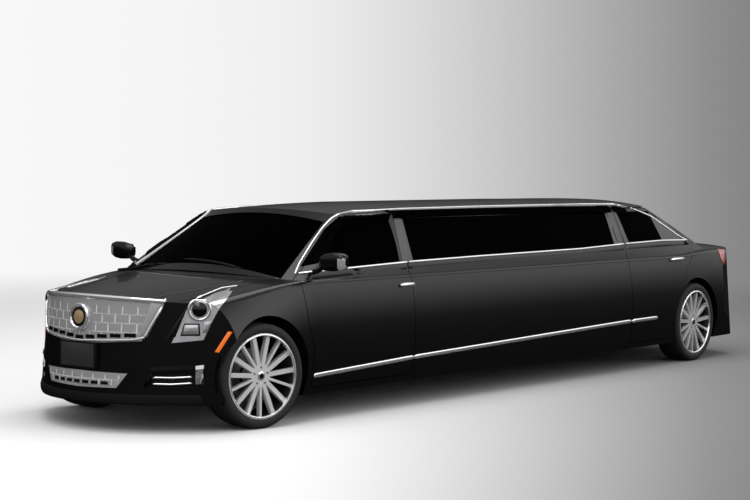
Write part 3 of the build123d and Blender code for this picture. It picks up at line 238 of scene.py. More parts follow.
PLATE = material("plate", (0.022, 0.021, 0.022), rough=0.4, noise=0.05, noise_scale=30, tint=0.05)
MIRROR_GLASS = material("mirror_glass", (0.7, 0.72, 0.74), rough=0.03, metal=1.0, noise=0.01, noise_scale=10,
                        tint=0.02)

# The finish of each CAD node, by a word in its name; the rest are painted
LOOKS = {
    "glass": GLASS, "windshield": GLASS, "rear_window": GLASS, "grille": GRILLE,
    "headlamp": LENS, "tail_lamp": RED, "rim": RIM, "tyre": RUBBER, "seat": LEATHER, "bench": LEATHER,
    "dashboard": BLACK, "parcel_shelf": BLACK, "knuckle": STEEL, "subframe": STEEL, "axle": STEEL,
    "engine": STEEL,
}


def dress_cad():
    for name, node in nodes.items():
        mat = next((m for key, m in LOOKS.items() if key in name), PAINT)
        node.data.materials.clear()
        node.data.materials.append(mat)


dress_cad()

# The skin, and points on it. Rays start this far out from the middle, the ends and the ground
SIDE_START, END_START, TOP_START = 3, 2, 4
INSIDE_WORDS = ("tyre", "rim", "knuckle", "subframe", "axle", "engine", "dashboard", "seat", "bench", "shelf",
                "mirror")


def tree_of(names):
    points, faces = [], []
    for name in names:
        node = nodes[name]
        start = len(points)
        points += [node.matrix_world @ v.co for v in node.data.vertices]
        faces += [[start + i for i in p.vertices] for p in node.data.polygons]
    return BVHTree.FromPolygons(points, faces)


OUTSIDE = [name for name in nodes if not any(word in name for word in INSIDE_WORDS)]
SKIN = tree_of(OUTSIDE)
OWNERS = [name for name in OUTSIDE for _ in nodes[name].data.polygons]


def carrier(name, sign=1):
    """The body that carries a node, on the side asked for."""
    word = "left" if sign > 0 else "right"
    for end in ENDS:
        if name.startswith((f"door_{end}", f"door_glass_{end}")):
            return f"door_{end}_{word}"
    return name if name in ("hood", "trunk_lid") else "body"


def cast(start, way, tree=SKIN):
    """Where a ray meets the skin, and the normal there, turned to face the ray."""
    at, normal, _, _ = tree.ray_cast(Vector(start), Vector(way))
    if at is None:
        return None
    if normal.dot(Vector(way)) > 0:
        normal = -normal
    return at, normal


def side(y, z, sign=1):
    return cast((sign * SIDE_START, y, z), (-sign, 0, 0))


def front(x, z, tree=SKIN):
    return cast((x, NOSE - END_START, z), (0, 1, 0), tree)


def rear(x, z, tree=SKIN):
    return cast((x, TAIL + END_START, z), (0, -1, 0), tree)


def top(x, y):
    return cast((x, y, TOP_START), (0, 0, -1))


def sight(px, py):
    """The direction of the camera's ray through that point of the picture."""
    across, down = px - PICTURE_WIDTH / 2, py - PICTURE_HEIGHT / 2
    return (CAM_AHEAD + CAM_RIGHT * (across / CAM["focal"]) - CAM_UP * (down / CAM["focal"])).normalized()


def seen(px, py):
    return cast(CAM_AT, sight(px, py))


def seen_owner(px, py):
    index = SKIN.ray_cast(CAM_AT, sight(px, py))[2]
    return None if index is None else OWNERS[index]


def flipped(hits):
    return [(Vector((-p.x, p.y, p.z)), Vector((-n.x, n.y, n.z))) for p, n in hits]


def flip_if(hit, sign):
    return hit if sign > 0 or not hit else flipped([hit])[0]


def stops(line, count_of):
    """Points along a line of corners, with count_of(p, q) of them on each stretch, and its last corner."""
    spots = []
    for p, q in zip(line, line[1:]):
        count = count_of(p, q)
        spots += [(p[0] + (q[0] - p[0]) * i / count, p[1] + (q[1] - p[1]) * i / count) for i in range(count)]
    return spots + [line[-1]]


def smoothed(hits, passes=3):
    """Small steps of the skin under a strip, such as a recessed glass, are evened out."""
    for _ in range(passes):
        new = [hits[0]]
        for a, b, c in zip(hits, hits[1:], hits[2:]):
            new.append(((a[0] + b[0] * 2 + c[0]) / 4, (a[1] + b[1] * 2 + c[1]).normalized()))
        hits = new + [hits[-1]]
    return hits


# Pieces
SHARP_ANGLE = math.radians(38)
# The raised part of a strip's section. Columns: share of the width, share of the height
CROWN_SHARES = ((-0.5, 0.45), (-0.36, 0.85), (-0.12, 1.0), (0.12, 1.0), (0.36, 0.85), (0.5, 0.45))
TAPER_SHARE = 0.55
EDGE_LIFT_SHARE = 0.5


def add_mesh(name, points, faces, mat, body):
    mesh = bpy.data.meshes.new(name)
    mesh.from_pydata([tuple(p) for p in points], [], faces)
    mesh.materials.append(mat)
    work = bmesh.new()
    work.from_mesh(mesh)
    bmesh.ops.recalc_face_normals(work, faces=work.faces)
    work.to_mesh(mesh)
    work.free()
    mesh.shade_smooth()
    mesh.set_sharp_from_angle(angle=SHARP_ANGLE)
    obj = bpy.data.objects.new(name, mesh)
    scene.collection.objects.link(obj)
    bpy.context.view_layer.update()
    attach(obj, body)
    return obj


def loft(rows, k, closed=False, sheet=False):
    """Faces between rows of k points. Closed joins the last row to the first; a sheet's rows stay open."""
    faces = []
    for i in range(rows if closed else rows - 1):
        j = (i + 1) % rows
        faces += [[i * k + a, i * k + (a + 1) % k, j * k + (a + 1) % k, j * k + a] for a in range(k - sheet)]
    if not closed and not sheet:
        faces += [list(range(k)), list(range((rows - 1) * k, rows * k))]
    return faces


def ribbon(name, hits, width, height, mat, body, slot="grille", sink=0.004, taper=True, closed=False):
    """A strip that lies along points on the skin, with a softly rounded face."""
    hits = [h for h in hits if h]
    shape = [(-0.5, -sink)] + [(s, height * h) for s, h in CROWN_SHARES] + [(0.5, -sink)]
    points = []
    count = len(hits)
    for i, (at, normal) in enumerate(hits):
        before = hits[i - 1][0] if (i or closed) else at
        after = hits[(i + 1) % count][0] if (i < count - 1 or closed) else at
        across = (after - before).normalized().cross(normal).normalized()
        wide = width * (TAPER_SHARE if taper and not closed and i in (0, count - 1) else 1)
        points += [at + across * (s * wide) + normal * h for s, h in shape]
    return add_mesh(name, points, loft(count, len(shape), closed), mat, body)


def oblong(u0, u1, v0, v1):
    return [(u0, v0), (u1, v0), (u1, v1), (u0, v1)]


def patch(name, corners, project, mat, body, lift, cells=6, sink=0.006):
    """A thin raised plate over the four-sided outline, laid on the skin by project(u, v)."""
    a, b, c, d = (Vector((*p, 0)) for p in corners)
    grid, under = [], []
    for i in range(cells + 1):
        for j in range(cells + 1):
            s, t = i / cells, j / cells
            p = (a * (1 - s) + b * s) * (1 - t) + (d * (1 - s) + c * s) * t
            at, normal = project(p.x, p.y)
            edge = i in (0, cells) or j in (0, cells)
            grid.append(at + normal * (lift * (EDGE_LIFT_SHARE if edge else 1)))
            under.append(at - normal * sink)
    n = cells + 1
    faces = [[i * n + j, (i + 1) * n + j, (i + 1) * n + j + 1, i * n + j + 1]
             for i in range(cells) for j in range(cells)]
    faces += [[len(grid) + q for q in f[::-1]] for f in faces]
    rim = [j for j in range(n)] + [i * n + cells for i in range(1, n)]
    rim += [cells * n + j for j in range(cells - 1, -1, -1)] + [i * n for i in range(cells - 1, 0, -1)]
    faces += [[p, q, q + len(grid), p + len(grid)] for p, q in zip(rim, rim[1:] + rim[:1])]
    return add_mesh(name, grid + under, faces, mat, body)


def lathe(name, profile, at, axis, mat, body, slot, steps):
    """A turned piece. Columns of the profile: distance along the axis, radius."""
    axis = Vector(axis).normalized()
    u = axis.orthogonal().normalized()
    v = axis.cross(u)
    points = []
    for i in range(steps):
        a = 2 * math.pi * i / steps
        out = u * math.cos(a) + v * math.sin(a)
        points += [Vector(at) + axis * d + out * r for d, r in profile]
    return add_mesh(name, points, loft(steps, len(profile), closed=True), mat, body)


def pixel_patch(name, mat, slot, lift, cells=5, body="body"):
    """A raised plate on the left where the picture shows it, and its twin on the right."""
    corners = MARKS[name]
    centre = [sum(c[k] for c in corners) / 4 for k in (0, 1)]
    for word, sign in SIDES:
        carried = body or carrier(seen_owner(*centre), sign)
        patch(f"{name}_{word}", corners, lambda px, py: flip_if(seen(px, py), sign), mat, carried, lift=lift,
              cells=cells)


PIXEL_STEP = 1.5
SHORTEST_RUN = 4


def pixel_trim(name, width, height, mat, slot):
    """A strip along the picture's line, cut where it passes from one body to the next."""
    runs = []
    for spot in stops(MARKS[name], lambda p, q: max(1, round(math.dist(p, q) / PIXEL_STEP))):
        hit = seen(*spot)
        if not hit:
            continue
        body = carrier(seen_owner(*spot))
        if not runs or runs[-1][0] != body:
            runs.append((body, []))
        runs[-1][1].append(hit)
    runs = [(body, smoothed(hits)) for body, hits in runs if len(hits) >= SHORTEST_RUN]
    for word, sign in SIDES:
        for k, (body, hits) in enumerate(runs):
            carried = body if sign > 0 else body.replace("_left", "_right")
            ribbon(f"{name}_{k}_{word}", [flip_if(h, sign) for h in hits], width, height, mat, carried, slot)


# Side windows, pillars and rocker strip. Columns: mark, width, height, material, slot
for row in (("sill_band", 0.046, 0.004, PAINT, "paint"), ("head_band", 0.07, 0.004, GLASS, "glass"),
            ("upper_trim", 0.015, 0.009, CHROME, "grille"), ("belt_trim", 0.018, 0.010, CHROME, "grille"),
            ("rocker", 0.03, 0.008, CHROME, "grille")):
    pixel_trim(*row)
# Columns: mark, material, slot, lift, cells, body (None is the body that carries the marked place)
for row in (("quarter_pane", GLASS, "glass", 0.008, 30, None), ("upper_pane", GLASS, "glass", 0.008, 30, None),
            ("b_pillar", SATIN, "trim", 0.004, 5, None), ("c_pillar", SATIN, "trim", 0.004, 5, None),
            ("c_door_pillar", SATIN, "trim", 0.004, 5, None), ("sail", SATIN, "trim", 0.004, 5, None)):
    pixel_patch(*row)

# Door handles: a bowed bar over a dark cup
BAR_STEPS, BAR_WIDTH, BAR_HEIGHT, BAR_SINK = 8, 0.024, 0.006, 0.008
BAR_STAND, BAR_BOW = 0.012, 0.016
CUP_START, CUP_END, CUP_DROP, CUP_RISE, CUP_LIFT = 0.04, 0.03, 0.024, 0.02, 0.0015


def door_handles():
    for word, sign in SIDES:
        for end in ENDS:
            body = f"door_{end}_{word}"
            first, last = (seen(*spot)[0] for spot in MARKS[f"{end}_handle"])
            z = (first.z + last.z) / 2
            cup = oblong(first.y + CUP_START, last.y - CUP_END, z - CUP_DROP, z + CUP_RISE)
            patch(f"handle_recess_{end}_{word}", cup, lambda u, v: side(u, v, sign), GLOSS, body, lift=CUP_LIFT)
            hits = []
            for i in range(BAR_STEPS + 1):
                at, normal = side(first.y + (last.y - first.y) * i / BAR_STEPS, z, sign)
                stand = BAR_STAND + BAR_BOW * math.sin(math.pi * i / BAR_STEPS) ** 0.5
                hits.append((at + normal * stand, normal))
            ribbon(f"handle_bar_{end}_{word}", hits, BAR_WIDTH, BAR_HEIGHT, CHROME, body, sink=BAR_SINK)


door_handles()

# Door mirrors. Columns of HEAD_ROWS: distance outward, half height, half depth
HEAD_ROWS = ((0.0, 0.022, 0.014), (0.012, 0.042, 0.030), (0.05, 0.058, 0.043), (0.11, 0.064, 0.048),
             (0.17, 0.060, 0.045), (0.203, 0.048, 0.036), (0.217, 0.030, 0.020))
HEAD_STEPS, HEAD_POWER = 28, 0.62
HEAD_REACH, HEAD_BACK, HEAD_DROP = 0.222, 0.016, 0.052  # from the CAD mirror's tip, middle and top
HEAD_SWEEP, HEAD_RISE = 0.1, 0.06
SIGNAL_START, SIGNAL_BACK, SIGNAL_TOP = 0.165, 0.02, 0.035
PANE_STEPS, PANE_POWER, PANE_THICKNESS = 32, 0.5, 0.012
PANE_OUT, PANE_BACK, PANE_UP, PANE_HALF_WIDTH, PANE_HALF_HEIGHT = 0.11, 0.0575, 0.006, 0.092, 0.05
ARM_ROWS, ARM_STEPS, ARM_POWER = 7, 16, 0.8
ARM_FOOT_BACK, ARM_FOOT_UP, ARM_SINK, ARM_INTO_HEAD, ARM_BACK, ARM_CLIMB = 0.01, 0.02, 0.012, 0.03, 0.004, 0.045
ARM_HALF_DEPTH, ARM_THINNING, ARM_HALF_HEIGHT = 0.026, 0.004, 0.017


def squared_circle(i, steps, power):
    """Point i of a circle of radius 1 that is pressed toward a square."""
    c, s = math.cos(2 * math.pi * i / steps), math.sin(2 * math.pi * i / steps)
    return math.copysign(abs(c) ** power, c), math.copysign(abs(s) ** power, s)


def cross_ring(at, half_y, half_z, steps, power):
    ring = [squared_circle(i, steps, power) for i in range(steps)]
    return [at + Vector((0, half_y * u, half_z * v)) for u, v in ring]


def door_mirrors():
    """Rounded heads with a turn signal, each on a short arm, and their glass."""
    for word, sign in SIDES:
        body = f"door_front_{word}"
        low, high = (Vector(c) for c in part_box(f"mirror_{word}"))
        start = abs(high.x if sign > 0 else low.x) - HEAD_REACH
        y = (low.y + high.y) / 2 + HEAD_BACK
        z = high.z - HEAD_DROP
        points = []
        for out, half_z, half_y in HEAD_ROWS:
            at = Vector((sign * (start + out), y + HEAD_SWEEP * out, z + HEAD_RISE * out))
            points += cross_ring(at, half_y, half_z, HEAD_STEPS, HEAD_POWER)
        head = add_mesh(f"mirror_head_{word}", points, loft(len(HEAD_ROWS), HEAD_STEPS), PAINT, body)
        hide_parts(f"mirror_{word}")
        head.data.materials.append(LENS)
        for poly in head.data.polygons:
            at = poly.center
            if abs(at.x) > start + SIGNAL_START and at.y < y + SIGNAL_BACK and at.z < z + SIGNAL_TOP:
                poly.material_index = 1
        ring = [squared_circle(i, PANE_STEPS, PANE_POWER) for i in range(PANE_STEPS)]
        pane = [Vector((sign * (start + PANE_OUT + PANE_HALF_WIDTH * u), y + PANE_BACK,
                        z + PANE_UP + PANE_HALF_HEIGHT * v)) for u, v in ring]
        pane += [p - Vector((0, PANE_THICKNESS, 0)) for p in pane]
        add_mesh(f"mirror_glass_{word}", pane, loft(2, PANE_STEPS), MIRROR_GLASS, body)
        foot = side(y + ARM_FOOT_BACK, low.z + ARM_FOOT_UP, sign)[0]
        inner = abs(foot.x) - ARM_SINK
        points = []
        for i in range(ARM_ROWS):
            t = i / (ARM_ROWS - 1)
            out = inner + (start + ARM_INTO_HEAD - inner) * t
            at = Vector((sign * out, y + ARM_BACK, foot.z + ARM_CLIMB * t * t))
            points += cross_ring(at, ARM_HALF_DEPTH - ARM_THINNING * t, ARM_HALF_HEIGHT, ARM_STEPS, ARM_POWER)
        add_mesh(f"mirror_arm_{word}", points, loft(ARM_ROWS, ARM_STEPS), BLACK, body)


door_mirrors()

# Wheels
AXIS_LIKENESS = 0.8
# Columns: share of the half width, share of the way from rim to tread, step outward
SIDEWALL_SHARES = ((0.93, 0, 0.001), (0.99, 0.14, 0), (1, 0.45, 0), (0.97, 0.72, 0), (0.9, 1, -0.008),
                   (0.8, 1, -0.002))
GROOVE_PLACE_SHARES = (-0.45, 0.0, 0.45)
GROOVE = ((-0.006, 0), (-0.0045, -0.007), (0.0045, -0.007), (0.006, 0))
# Turned profiles. Columns: distance along the axis, radius
# Columns of RIM_LIP: distance ahead of the rim's face, distance inside its edge
RIM_LIP = ((-0.004, 0.004), (0.002, 0.006), (0.004, 0.011), (0.001, 0.016), (-0.006, 0.018))
HUB_CAP = ((-0.002, 0.001), (0.007, 0.001), (0.0065, 0.02), (0.004, 0.03), (-0.002, 0.033))
CAP_BADGE = ((0.006, 0.001), (0.009, 0.001), (0.008, 0.017), (0.006, 0.019))
NUT = ((-0.004, 0.001), (0.004, 0.001), (0.004, 0.006), (-0.004, 0.0085))
BRAKE = ((-0.014, 0.09), (0.014, 0.09), (0.014, 0.175), (-0.014, 0.175))
VALVE = ((0, 0.001), (0.03, 0.001), (0.03, 0.004), (0, 0.004))
HUB_REACH, SEAT_REACH, BRAKE_BACKSET = 0.09, 0.12, 0.02
NUT_COUNT, NUT_CIRCLE, FIRST_NUT_DEG = 5, 0.058, 126
VALVE_PLACE, VALVE_BACKSET = (0.2, 0.16), 0.05
# Faces this far behind the rim's face and this far out from the axis take the barrel's painted shade
BARREL_DEPTH, BARREL_INNER = 0.075, 0.1
WHEEL_STEPS, CAP_STEPS, BRAKE_STEPS, NUT_SIDES, VALVE_STEPS = 96, 32, 64, 6, 8
RIM_EDGE, EDGE_SEGMENTS, EDGE_ANGLE, WELD_GAP = 0.004, 2, math.radians(32), 0.00002


def turned(tag):
    """A wheel's centre, and its axis pointing outward."""
    tyre = nodes[f"tyre_{tag}"]
    centre = middle(f"tyre_{tag}")
    points = np.array([tuple(tyre.matrix_world @ v.co - centre) for v in tyre.data.vertices])
    vectors = np.linalg.eigh(points.T @ points)[1]
    column = 0 if abs(vectors[0, 0]) > AXIS_LIKENESS else int(np.argmax(abs(vectors[0])))
    axis = Vector([float(c) for c in vectors[:, column]])
    if axis.x * (1 if "left" in tag else -1) < 0:
        axis = -axis
    return centre, axis.normalized()


def tyre_profile():
    """Columns: distance along the axis, radius. Rounded shoulders and three grooves."""
    w, r, q = TYRE_HALF, TYRE_RADIUS, RIM_RADIUS
    wall = [(-w * across, q + (r - q) * up + step) for across, up, step in SIDEWALL_SHARES]
    tread = [(share * w + d, r + h) for share in GROOVE_PLACE_SHARES for d, h in GROOVE]
    return wall + tread + [(-a, b) for a, b in wall[::-1]]


def wheels():
    for end in ENDS:
        for word, _ in SIDES:
            tag = f"{end}_{word}"
            body = f"wheel_{tag}"
            centre, axis = turned(tag)
            tyre = lathe(f"tread_{tag}", tyre_profile(), centre, axis, RUBBER, body, "tyre", WHEEL_STEPS)
            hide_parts(f"tyre_{tag}")
            rim = nodes[f"rim_{tag}"]
            spots = [rim.matrix_world @ v.co - centre for v in rim.data.vertices]
            depths = [(p.dot(axis), (p - axis * p.dot(axis)).length) for p in spots]
            face = max(d for d, _ in depths)
            hub_face = max(d for d, r in depths if r < HUB_REACH)
            behind = min(d for d, r in depths if r < SEAT_REACH)
            lip = [(face + d, RIM_RADIUS - r) for d, r in RIM_LIP]
            cap, badge, nut = ([(hub_face + d, r) for d, r in rows] for rows in (HUB_CAP, CAP_BADGE, NUT))
            lathe(f"rim_lip_{tag}", lip, centre, axis, CHROME, body, "rim", WHEEL_STEPS)
            lathe(f"hub_cap_{tag}", cap, centre, axis, CHROME, body, "rim", CAP_STEPS)
            lathe(f"cap_badge_{tag}", badge, centre, axis, GLOSS, body, "trim", CAP_STEPS)
            u = axis.cross(Vector((0, 0, 1))).normalized()
            v = axis.cross(u)
            for k in range(NUT_COUNT):
                a = math.radians(FIRST_NUT_DEG + 360 / NUT_COUNT * k)
                spot = centre + (u * math.cos(a) + v * math.sin(a)) * NUT_CIRCLE
                lathe(f"lug_{k}_{tag}", nut, spot, axis, STEEL, body, "steel", NUT_SIDES)
            seat = centre + axis * (behind - BRAKE_BACKSET)
            lathe(f"brake_disc_{tag}", BRAKE, seat, axis, DISC, body, "steel", BRAKE_STEPS)
            valve = centre + (u * VALVE_PLACE[0] + v * VALVE_PLACE[1]) + axis * (face - VALVE_BACKSET)
            lathe(f"valve_{tag}", VALVE, valve, axis, BLACK, body, "trim", VALVE_STEPS)


def add_bevel(obj):
    weld = obj.modifiers.new("weld", "WELD")
    weld.merge_threshold = WELD_GAP
    mod = obj.modifiers.new("edge", "BEVEL")
    mod.width = RIM_EDGE
    mod.segments = EDGE_SEGMENTS
    mod.limit_method = "ANGLE"
    mod.angle_limit = EDGE_ANGLE


def shade_rims():
    """The barrel behind the spokes is painted dark, a painted shade between the spokes, and the spokes get soft
    edges.
    """
    for end in ENDS:
        for word, _ in SIDES:
            node = nodes[f"rim_{end}_{word}"]
            centre, axis = turned(f"{end}_{word}")
            node.data.materials.append(PAINTED_SHADE_BARREL)
            reach = max((node.matrix_world @ v.co - centre).dot(axis) for v in node.data.vertices)
            for poly in node.data.polygons:
                at = node.matrix_world @ poly.center - centre
                radius = (at - axis * at.dot(axis)).length
                if at.dot(axis) < reach - BARREL_DEPTH and radius > BARREL_INNER:
                    poly.material_index = 1
            add_bevel(node)


wheels()
shade_rims()

# Lamps
RING_STEPS, RING_PROBE, RING_TOLERANCE = 36, 0.1, 0.06
DISC_STEPS, DISC_SINK, DISC_PINHOLE = 40, 0.012, 0.0008
DISC_EDGE, DISC_SHOULDER, DISC_FOOT, SHOULDER_RISE = 0.97, 0.5, 0.98, 0.75  # shares of the radius and the dome
PROJECTOR_RING = dict(radius=0.068, width=0.018, height=0.007)
PROJECTOR = dict(radius=0.05, lift=0.006, dome=0.014)


def spot_ring(name, spot, radius, width, height, mat, body, slot):
    at, normal = spot
    u = normal.orthogonal().normalized()
    v = normal.cross(u)
    hits = []
    for i in range(RING_STEPS):
        a = 2 * math.pi * i / RING_STEPS
        p = at + (u * math.cos(a) + v * math.sin(a)) * radius
        hit = cast(p + normal * RING_PROBE, -normal)
        if hit and (hit[0] - p).length < RING_TOLERANCE:
            hits.append((hit[0], normal))
    return ribbon(name, hits, width, height, mat, body, slot, closed=True)


def spot_disc(name, spot, radius, lift, mat, body, slot, dome):
    """A disc with a rounded face, whose profile runs from its edge to its middle and back below."""
    profile = [(lift, radius * DISC_EDGE), (lift + dome * SHOULDER_RISE, radius * DISC_SHOULDER),
               (lift + dome, DISC_PINHOLE), (lift - DISC_SINK, DISC_PINHOLE),
               (lift - DISC_SINK, radius * DISC_FOOT)]
    return lathe(name, profile, *spot, mat, body, slot, DISC_STEPS)


def headlamps():
    centre = seen(*MARKS["projector"][0])
    for word, sign in SIDES:
        hit = flip_if(centre, sign)
        spot_ring(f"projector_ring_{word}", hit, mat=REFLECTOR, body="body", slot="lamp", **PROJECTOR_RING)
        spot_disc(f"projector_{word}", hit, mat=GLOSS, body="body", slot="lamp", **PROJECTOR)
    # Columns: mark, material, slot, lift, cells, body
    for row in (("lamp_cell_rim", GLOSS, "lamp", 0.003, 5, "body"),
                ("lamp_cell", REFLECTOR, "lamp", 0.006, 5, "body"),
                ("outer_cell", REFLECTOR, "lamp", 0.004, 5, "body"),
                ("upper_reflector", REFLECTOR, "lamp", 0.004, 5, "body"),
                ("lamp_shadow", GLOSS, "trim", 0.002, 5, None), ("marker", AMBER, "lamp", 0.006, 5, None)):
        pixel_patch(*row)
    pixel_trim("lamp_brow", width=0.012, height=0.004, mat=CHROME, slot="lamp")


headlamps()

# Grilles and badge
JOINT_DEPTH, JOINT_TILT = 0.007, 0.35
JOINT_PROBES = ((0.025, 0), (0.045, 0), (0.07, 0), (0, 0.02), (0, 0.035), (0, 0.05))  # steps across, steps up
BOW_X, BOW_Z = 0.4, 0.70
NOSE_BOW = (front(BOW_X, BOW_Z)[0].y - front(0.0, BOW_Z)[0].y) / BOW_X ** 2  # the nose lies at about bow * x²
STRETCH_STEPS, BAR_POINTS, CENTRE_GAP = 8, 24, 0.01
FOOT_PLACES, FOOT_PROBES = (0, 0.22, 0.44), (0.0, 0.22, 0.43)
FOOT_START, FOOT_STEP, FOOT_TRIES = 0.4, 0.006, 60
GAP_AHEAD, GAP_LIFT, GAP_SINK = 0.001, 0.003, 0.02
GRILLE_GAPS = dict(half=0.42, count=9, width=0.07, height=0.024)
GRILLE_GAP_RISE = 0.026
LOWER_GAPS = dict(half=0.26, count=7, width=0.05, height=0.02)
LOWER_GAP_RISE = 0.034
TOP_BAR = dict(width=0.03, height=0.008, sink=0.03)
TOP_BAR_PROBES = (-0.5, -0.25, 0, 0.25)  # shares of its width
FOOT_BAR = dict(width=0.018, height=0.014, sink=0.012)
SIDE_BAR = dict(width=0.02, height=0.018, sink=0.012)
BADGE_RISE, BADGE_STEPS = 0.015, 48
BADGE_DISC = dict(radius=0.066, lift=0.014, dome=0.002)
BADGE_HEART = dict(radius=0.046, lift=0.019, dome=0.006)
BADGE_RING = ((-0.01, 0.064), (0.018, 0.065), (0.026, 0.072), (0.026, 0.082), (0.018, 0.090), (-0.01, 0.092))


def finish_by_depth(name):
    """Faces of a grille that lie behind its front take the joints' finish."""
    node = nodes[name]
    node.data.materials.append(JOINT)
    tree = tree_of([name])
    for poly in node.data.polygons:
        at = node.matrix_world @ poly.center
        ahead = at.y
        for dx, dz in JOINT_PROBES:
            pair = [front(at.x + w * dx, at.z + w * dz, tree) for w in (-1, 1)]
            if all(pair):
                ahead = min(ahead, (pair[0][0].y + pair[1][0].y) / 2)
        normal = (node.matrix_world.to_3x3() @ poly.normal).normalized()
        if at.y > ahead + JOINT_DEPTH or abs(normal.y) < JOINT_TILT:
            poly.material_index = 1


def gap_row(name, tree, z_at, half, count, width, height):
    """Dark gaps along the lower edge of a grille, each ahead of all the blocks that it covers."""
    for k in range(count):
        x = half * (2 * (k + 0.5) / count - 1)
        z = z_at(x)
        corners = oblong(x - width / 2, x + width / 2, z - height / 2, z + height / 2)
        spots = [front(x + a * width / 2, z + b * height / 2, tree) for a in (-1, 0, 1) for b in (-1, 0, 1)]
        slope = 2 * NOSE_BOW * x
        ahead = min(spot[0].y - slope * (spot[0].x - x) for spot in spots if spot) - GAP_AHEAD
        normal = Vector((slope, -1, 0)).normalized()
        patch(f"{name}_{k}", corners, lambda u, v: (Vector((u, ahead + slope * (u - x), v)), normal), GLOSS,
              "body", lift=GAP_LIFT, cells=2, sink=GAP_SINK)


def half_line(name):
    """A mark that crosses the nose, as points on its left half."""
    hits = [seen(*spot) for spot in stops(MARKS[name], lambda p, q: STRETCH_STEPS)]
    return [h for h in hits if h and h[0].x > CENTRE_GAP]


def top_bar(width, height, sink):
    """A straight bar across the nose, ahead of everything it covers, at the height the picture shows."""
    half = half_line("grille_top")
    xs = np.array([h[0].x for h in half])
    level = np.polyfit(xs, [h[0].z for h in half], 2)
    spread = np.linspace(0, float(xs.max()), BAR_POINTS)
    nearest = []
    for x in map(float, spread):
        z = float(np.polyval(level, x))
        over = [front(x, z + share * width) or front(x, BOW_Z) for share in TOP_BAR_PROBES]
        nearest.append(min(hit[0].y for hit in over))
    bow = np.polyfit(spread ** 2, nearest, 2)
    shift = float(np.max(np.polyval(bow, spread ** 2) - np.array(nearest)))
    hits = []
    for x in map(float, list(-spread[:0:-1]) + list(spread)):
        slope = float(4 * bow[0] * x ** 3 + 2 * bow[1] * x)
        at = Vector((x, float(np.polyval(bow, x * x)) - shift, float(np.polyval(level, abs(x)))))
        hits.append((at, Vector((slope, -1, 0)).normalized()))
    ribbon("grille_top_bar", hits, width, height, CHROME, "body", taper=False, sink=sink)


def lowest(tree, x):
    """Height of a grille's lower edge."""
    for i in range(FOOT_TRIES):
        z = FOOT_START + i * FOOT_STEP
        hit = front(x, z, tree)
        if hit:
            return (front(x, z + 2 * FOOT_STEP, tree) or hit)[0].z


def grille_dress():
    for name in ("grille", "lower_grille"):
        finish_by_depth(name)
    low, high = (Vector(c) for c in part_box("grille"))
    tree = tree_of(["grille"])
    top_bar(**TOP_BAR)
    foot = smoothed(half_line("grille_foot"))
    ribbon("grille_foot_bar", flipped(foot)[::-1] + foot, mat=CHROME, body="body", taper=False, **FOOT_BAR)
    pixel_patch("grille_wing", GRILLE, "grille", lift=0.012)
    for word, sign in SIDES:
        hits = [flip_if(seen(*p), sign) for p in MARKS["grille_side"]]
        ribbon(f"grille_side_bar_{word}", hits, mat=CHROME, body="body", taper=False, **SIDE_BAR)
    levels = [lowest(tree, x) for x in FOOT_PROBES]
    gap_row("grille_gap", tree, lambda x: float(np.interp(abs(x), FOOT_PLACES, levels)) + GRILLE_GAP_RISE,
            **GRILLE_GAPS)
    foot_low = Vector(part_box("lower_grille")[0]).z
    gap_row("lower_gap", tree_of(["lower_grille"]), lambda x: foot_low + LOWER_GAP_RISE, **LOWER_GAPS)
    badge = front(0, (low.z + high.z) / 2 + BADGE_RISE, tree)
    spot_disc("badge_disc", badge, mat=GLOSS, body="body", slot="trim", **BADGE_DISC)
    spot_disc("badge_heart", badge, mat=BADGE, body="body", slot="grille", **BADGE_HEART)
    lathe("badge_ring", BADGE_RING, *badge, CHROME, "body", "grille", BADGE_STEPS)


grille_dress()

# Plates. Columns: name, half width, half height, lift, material
FRONT_PLATES = (("plate_holder", 0.17, 0.085, 0.010, BLACK), ("front_plate", 0.152, 0.076, 0.016, PLATE))
REAR_PLATES = (("rear_plate_frame", 0.17, 0.088, 0.006, BLACK), ("rear_plate", 0.152, 0.076, 0.010, PLATE))
FRONT_PLATE_Z, FRONT_PLATE_AHEAD = 0.497, 0.004
REAR_PLATE_Z, REAR_PLATE_SEAT_Z, REAR_PLATE_BEHIND = 0.56, 0.545, 0.001


def plates(rows, middle_z, y, way, cells, sink):
    """Blank plates, flat and one over the other, that face the way given."""
    for name, half_w, half_h, lift, mat in rows:
        corners = oblong(-half_w, half_w, middle_z - half_h, middle_z + half_h)
        patch(name, corners, lambda x, z: (Vector((x, y, z)), Vector((0, way, 0))), mat, "body", lift=lift,
              cells=cells, sink=sink)


front_plate_y = front(0, FRONT_PLATE_Z)[0].y - FRONT_PLATE_AHEAD
plates(FRONT_PLATES, FRONT_PLATE_Z, front_plate_y, way=-1, cells=4, sink=0.01)

# Fog lamps
pixel_patch("fog_surround", BLACK, "trim", lift=0.004)
for bar in ("fog_bar_upper", "fog_bar_lower"):
    pixel_trim(bar, width=0.014, height=0.014, mat=CHROME, slot="grille")
pixel_patch("fog_lamp", REFLECTOR, "lamp", lift=0.010)

# Lip round the foot of the front bumper. Columns of CHIN_ROWS: height, how far out
CHIN_ROWS = ((0.262, -0.004), (0.255, 0.012), (0.225, 0.022), (0.2, 0.02), (0.194, -0.01))
CHIN_WIDTH, CHIN_STEPS, CHIN_LEVEL, CHIN_INSET, CHIN_FADE = 1.62, 24, 0.28, 0.004, 0.11


def chin():
    points = []
    for i in range(CHIN_STEPS + 1):
        x = (i / CHIN_STEPS - 0.5) * CHIN_WIDTH
        y = front(x, CHIN_LEVEL)[0].y
        share = min(1, (CHIN_WIDTH / 2 - abs(x)) / CHIN_FADE)
        points += [Vector((x, y + CHIN_INSET - out * share, z)) for z, out in CHIN_ROWS]
    add_mesh("chin", points, loft(CHIN_STEPS + 1, len(CHIN_ROWS), sheet=True), BLACK, "body")


chin()

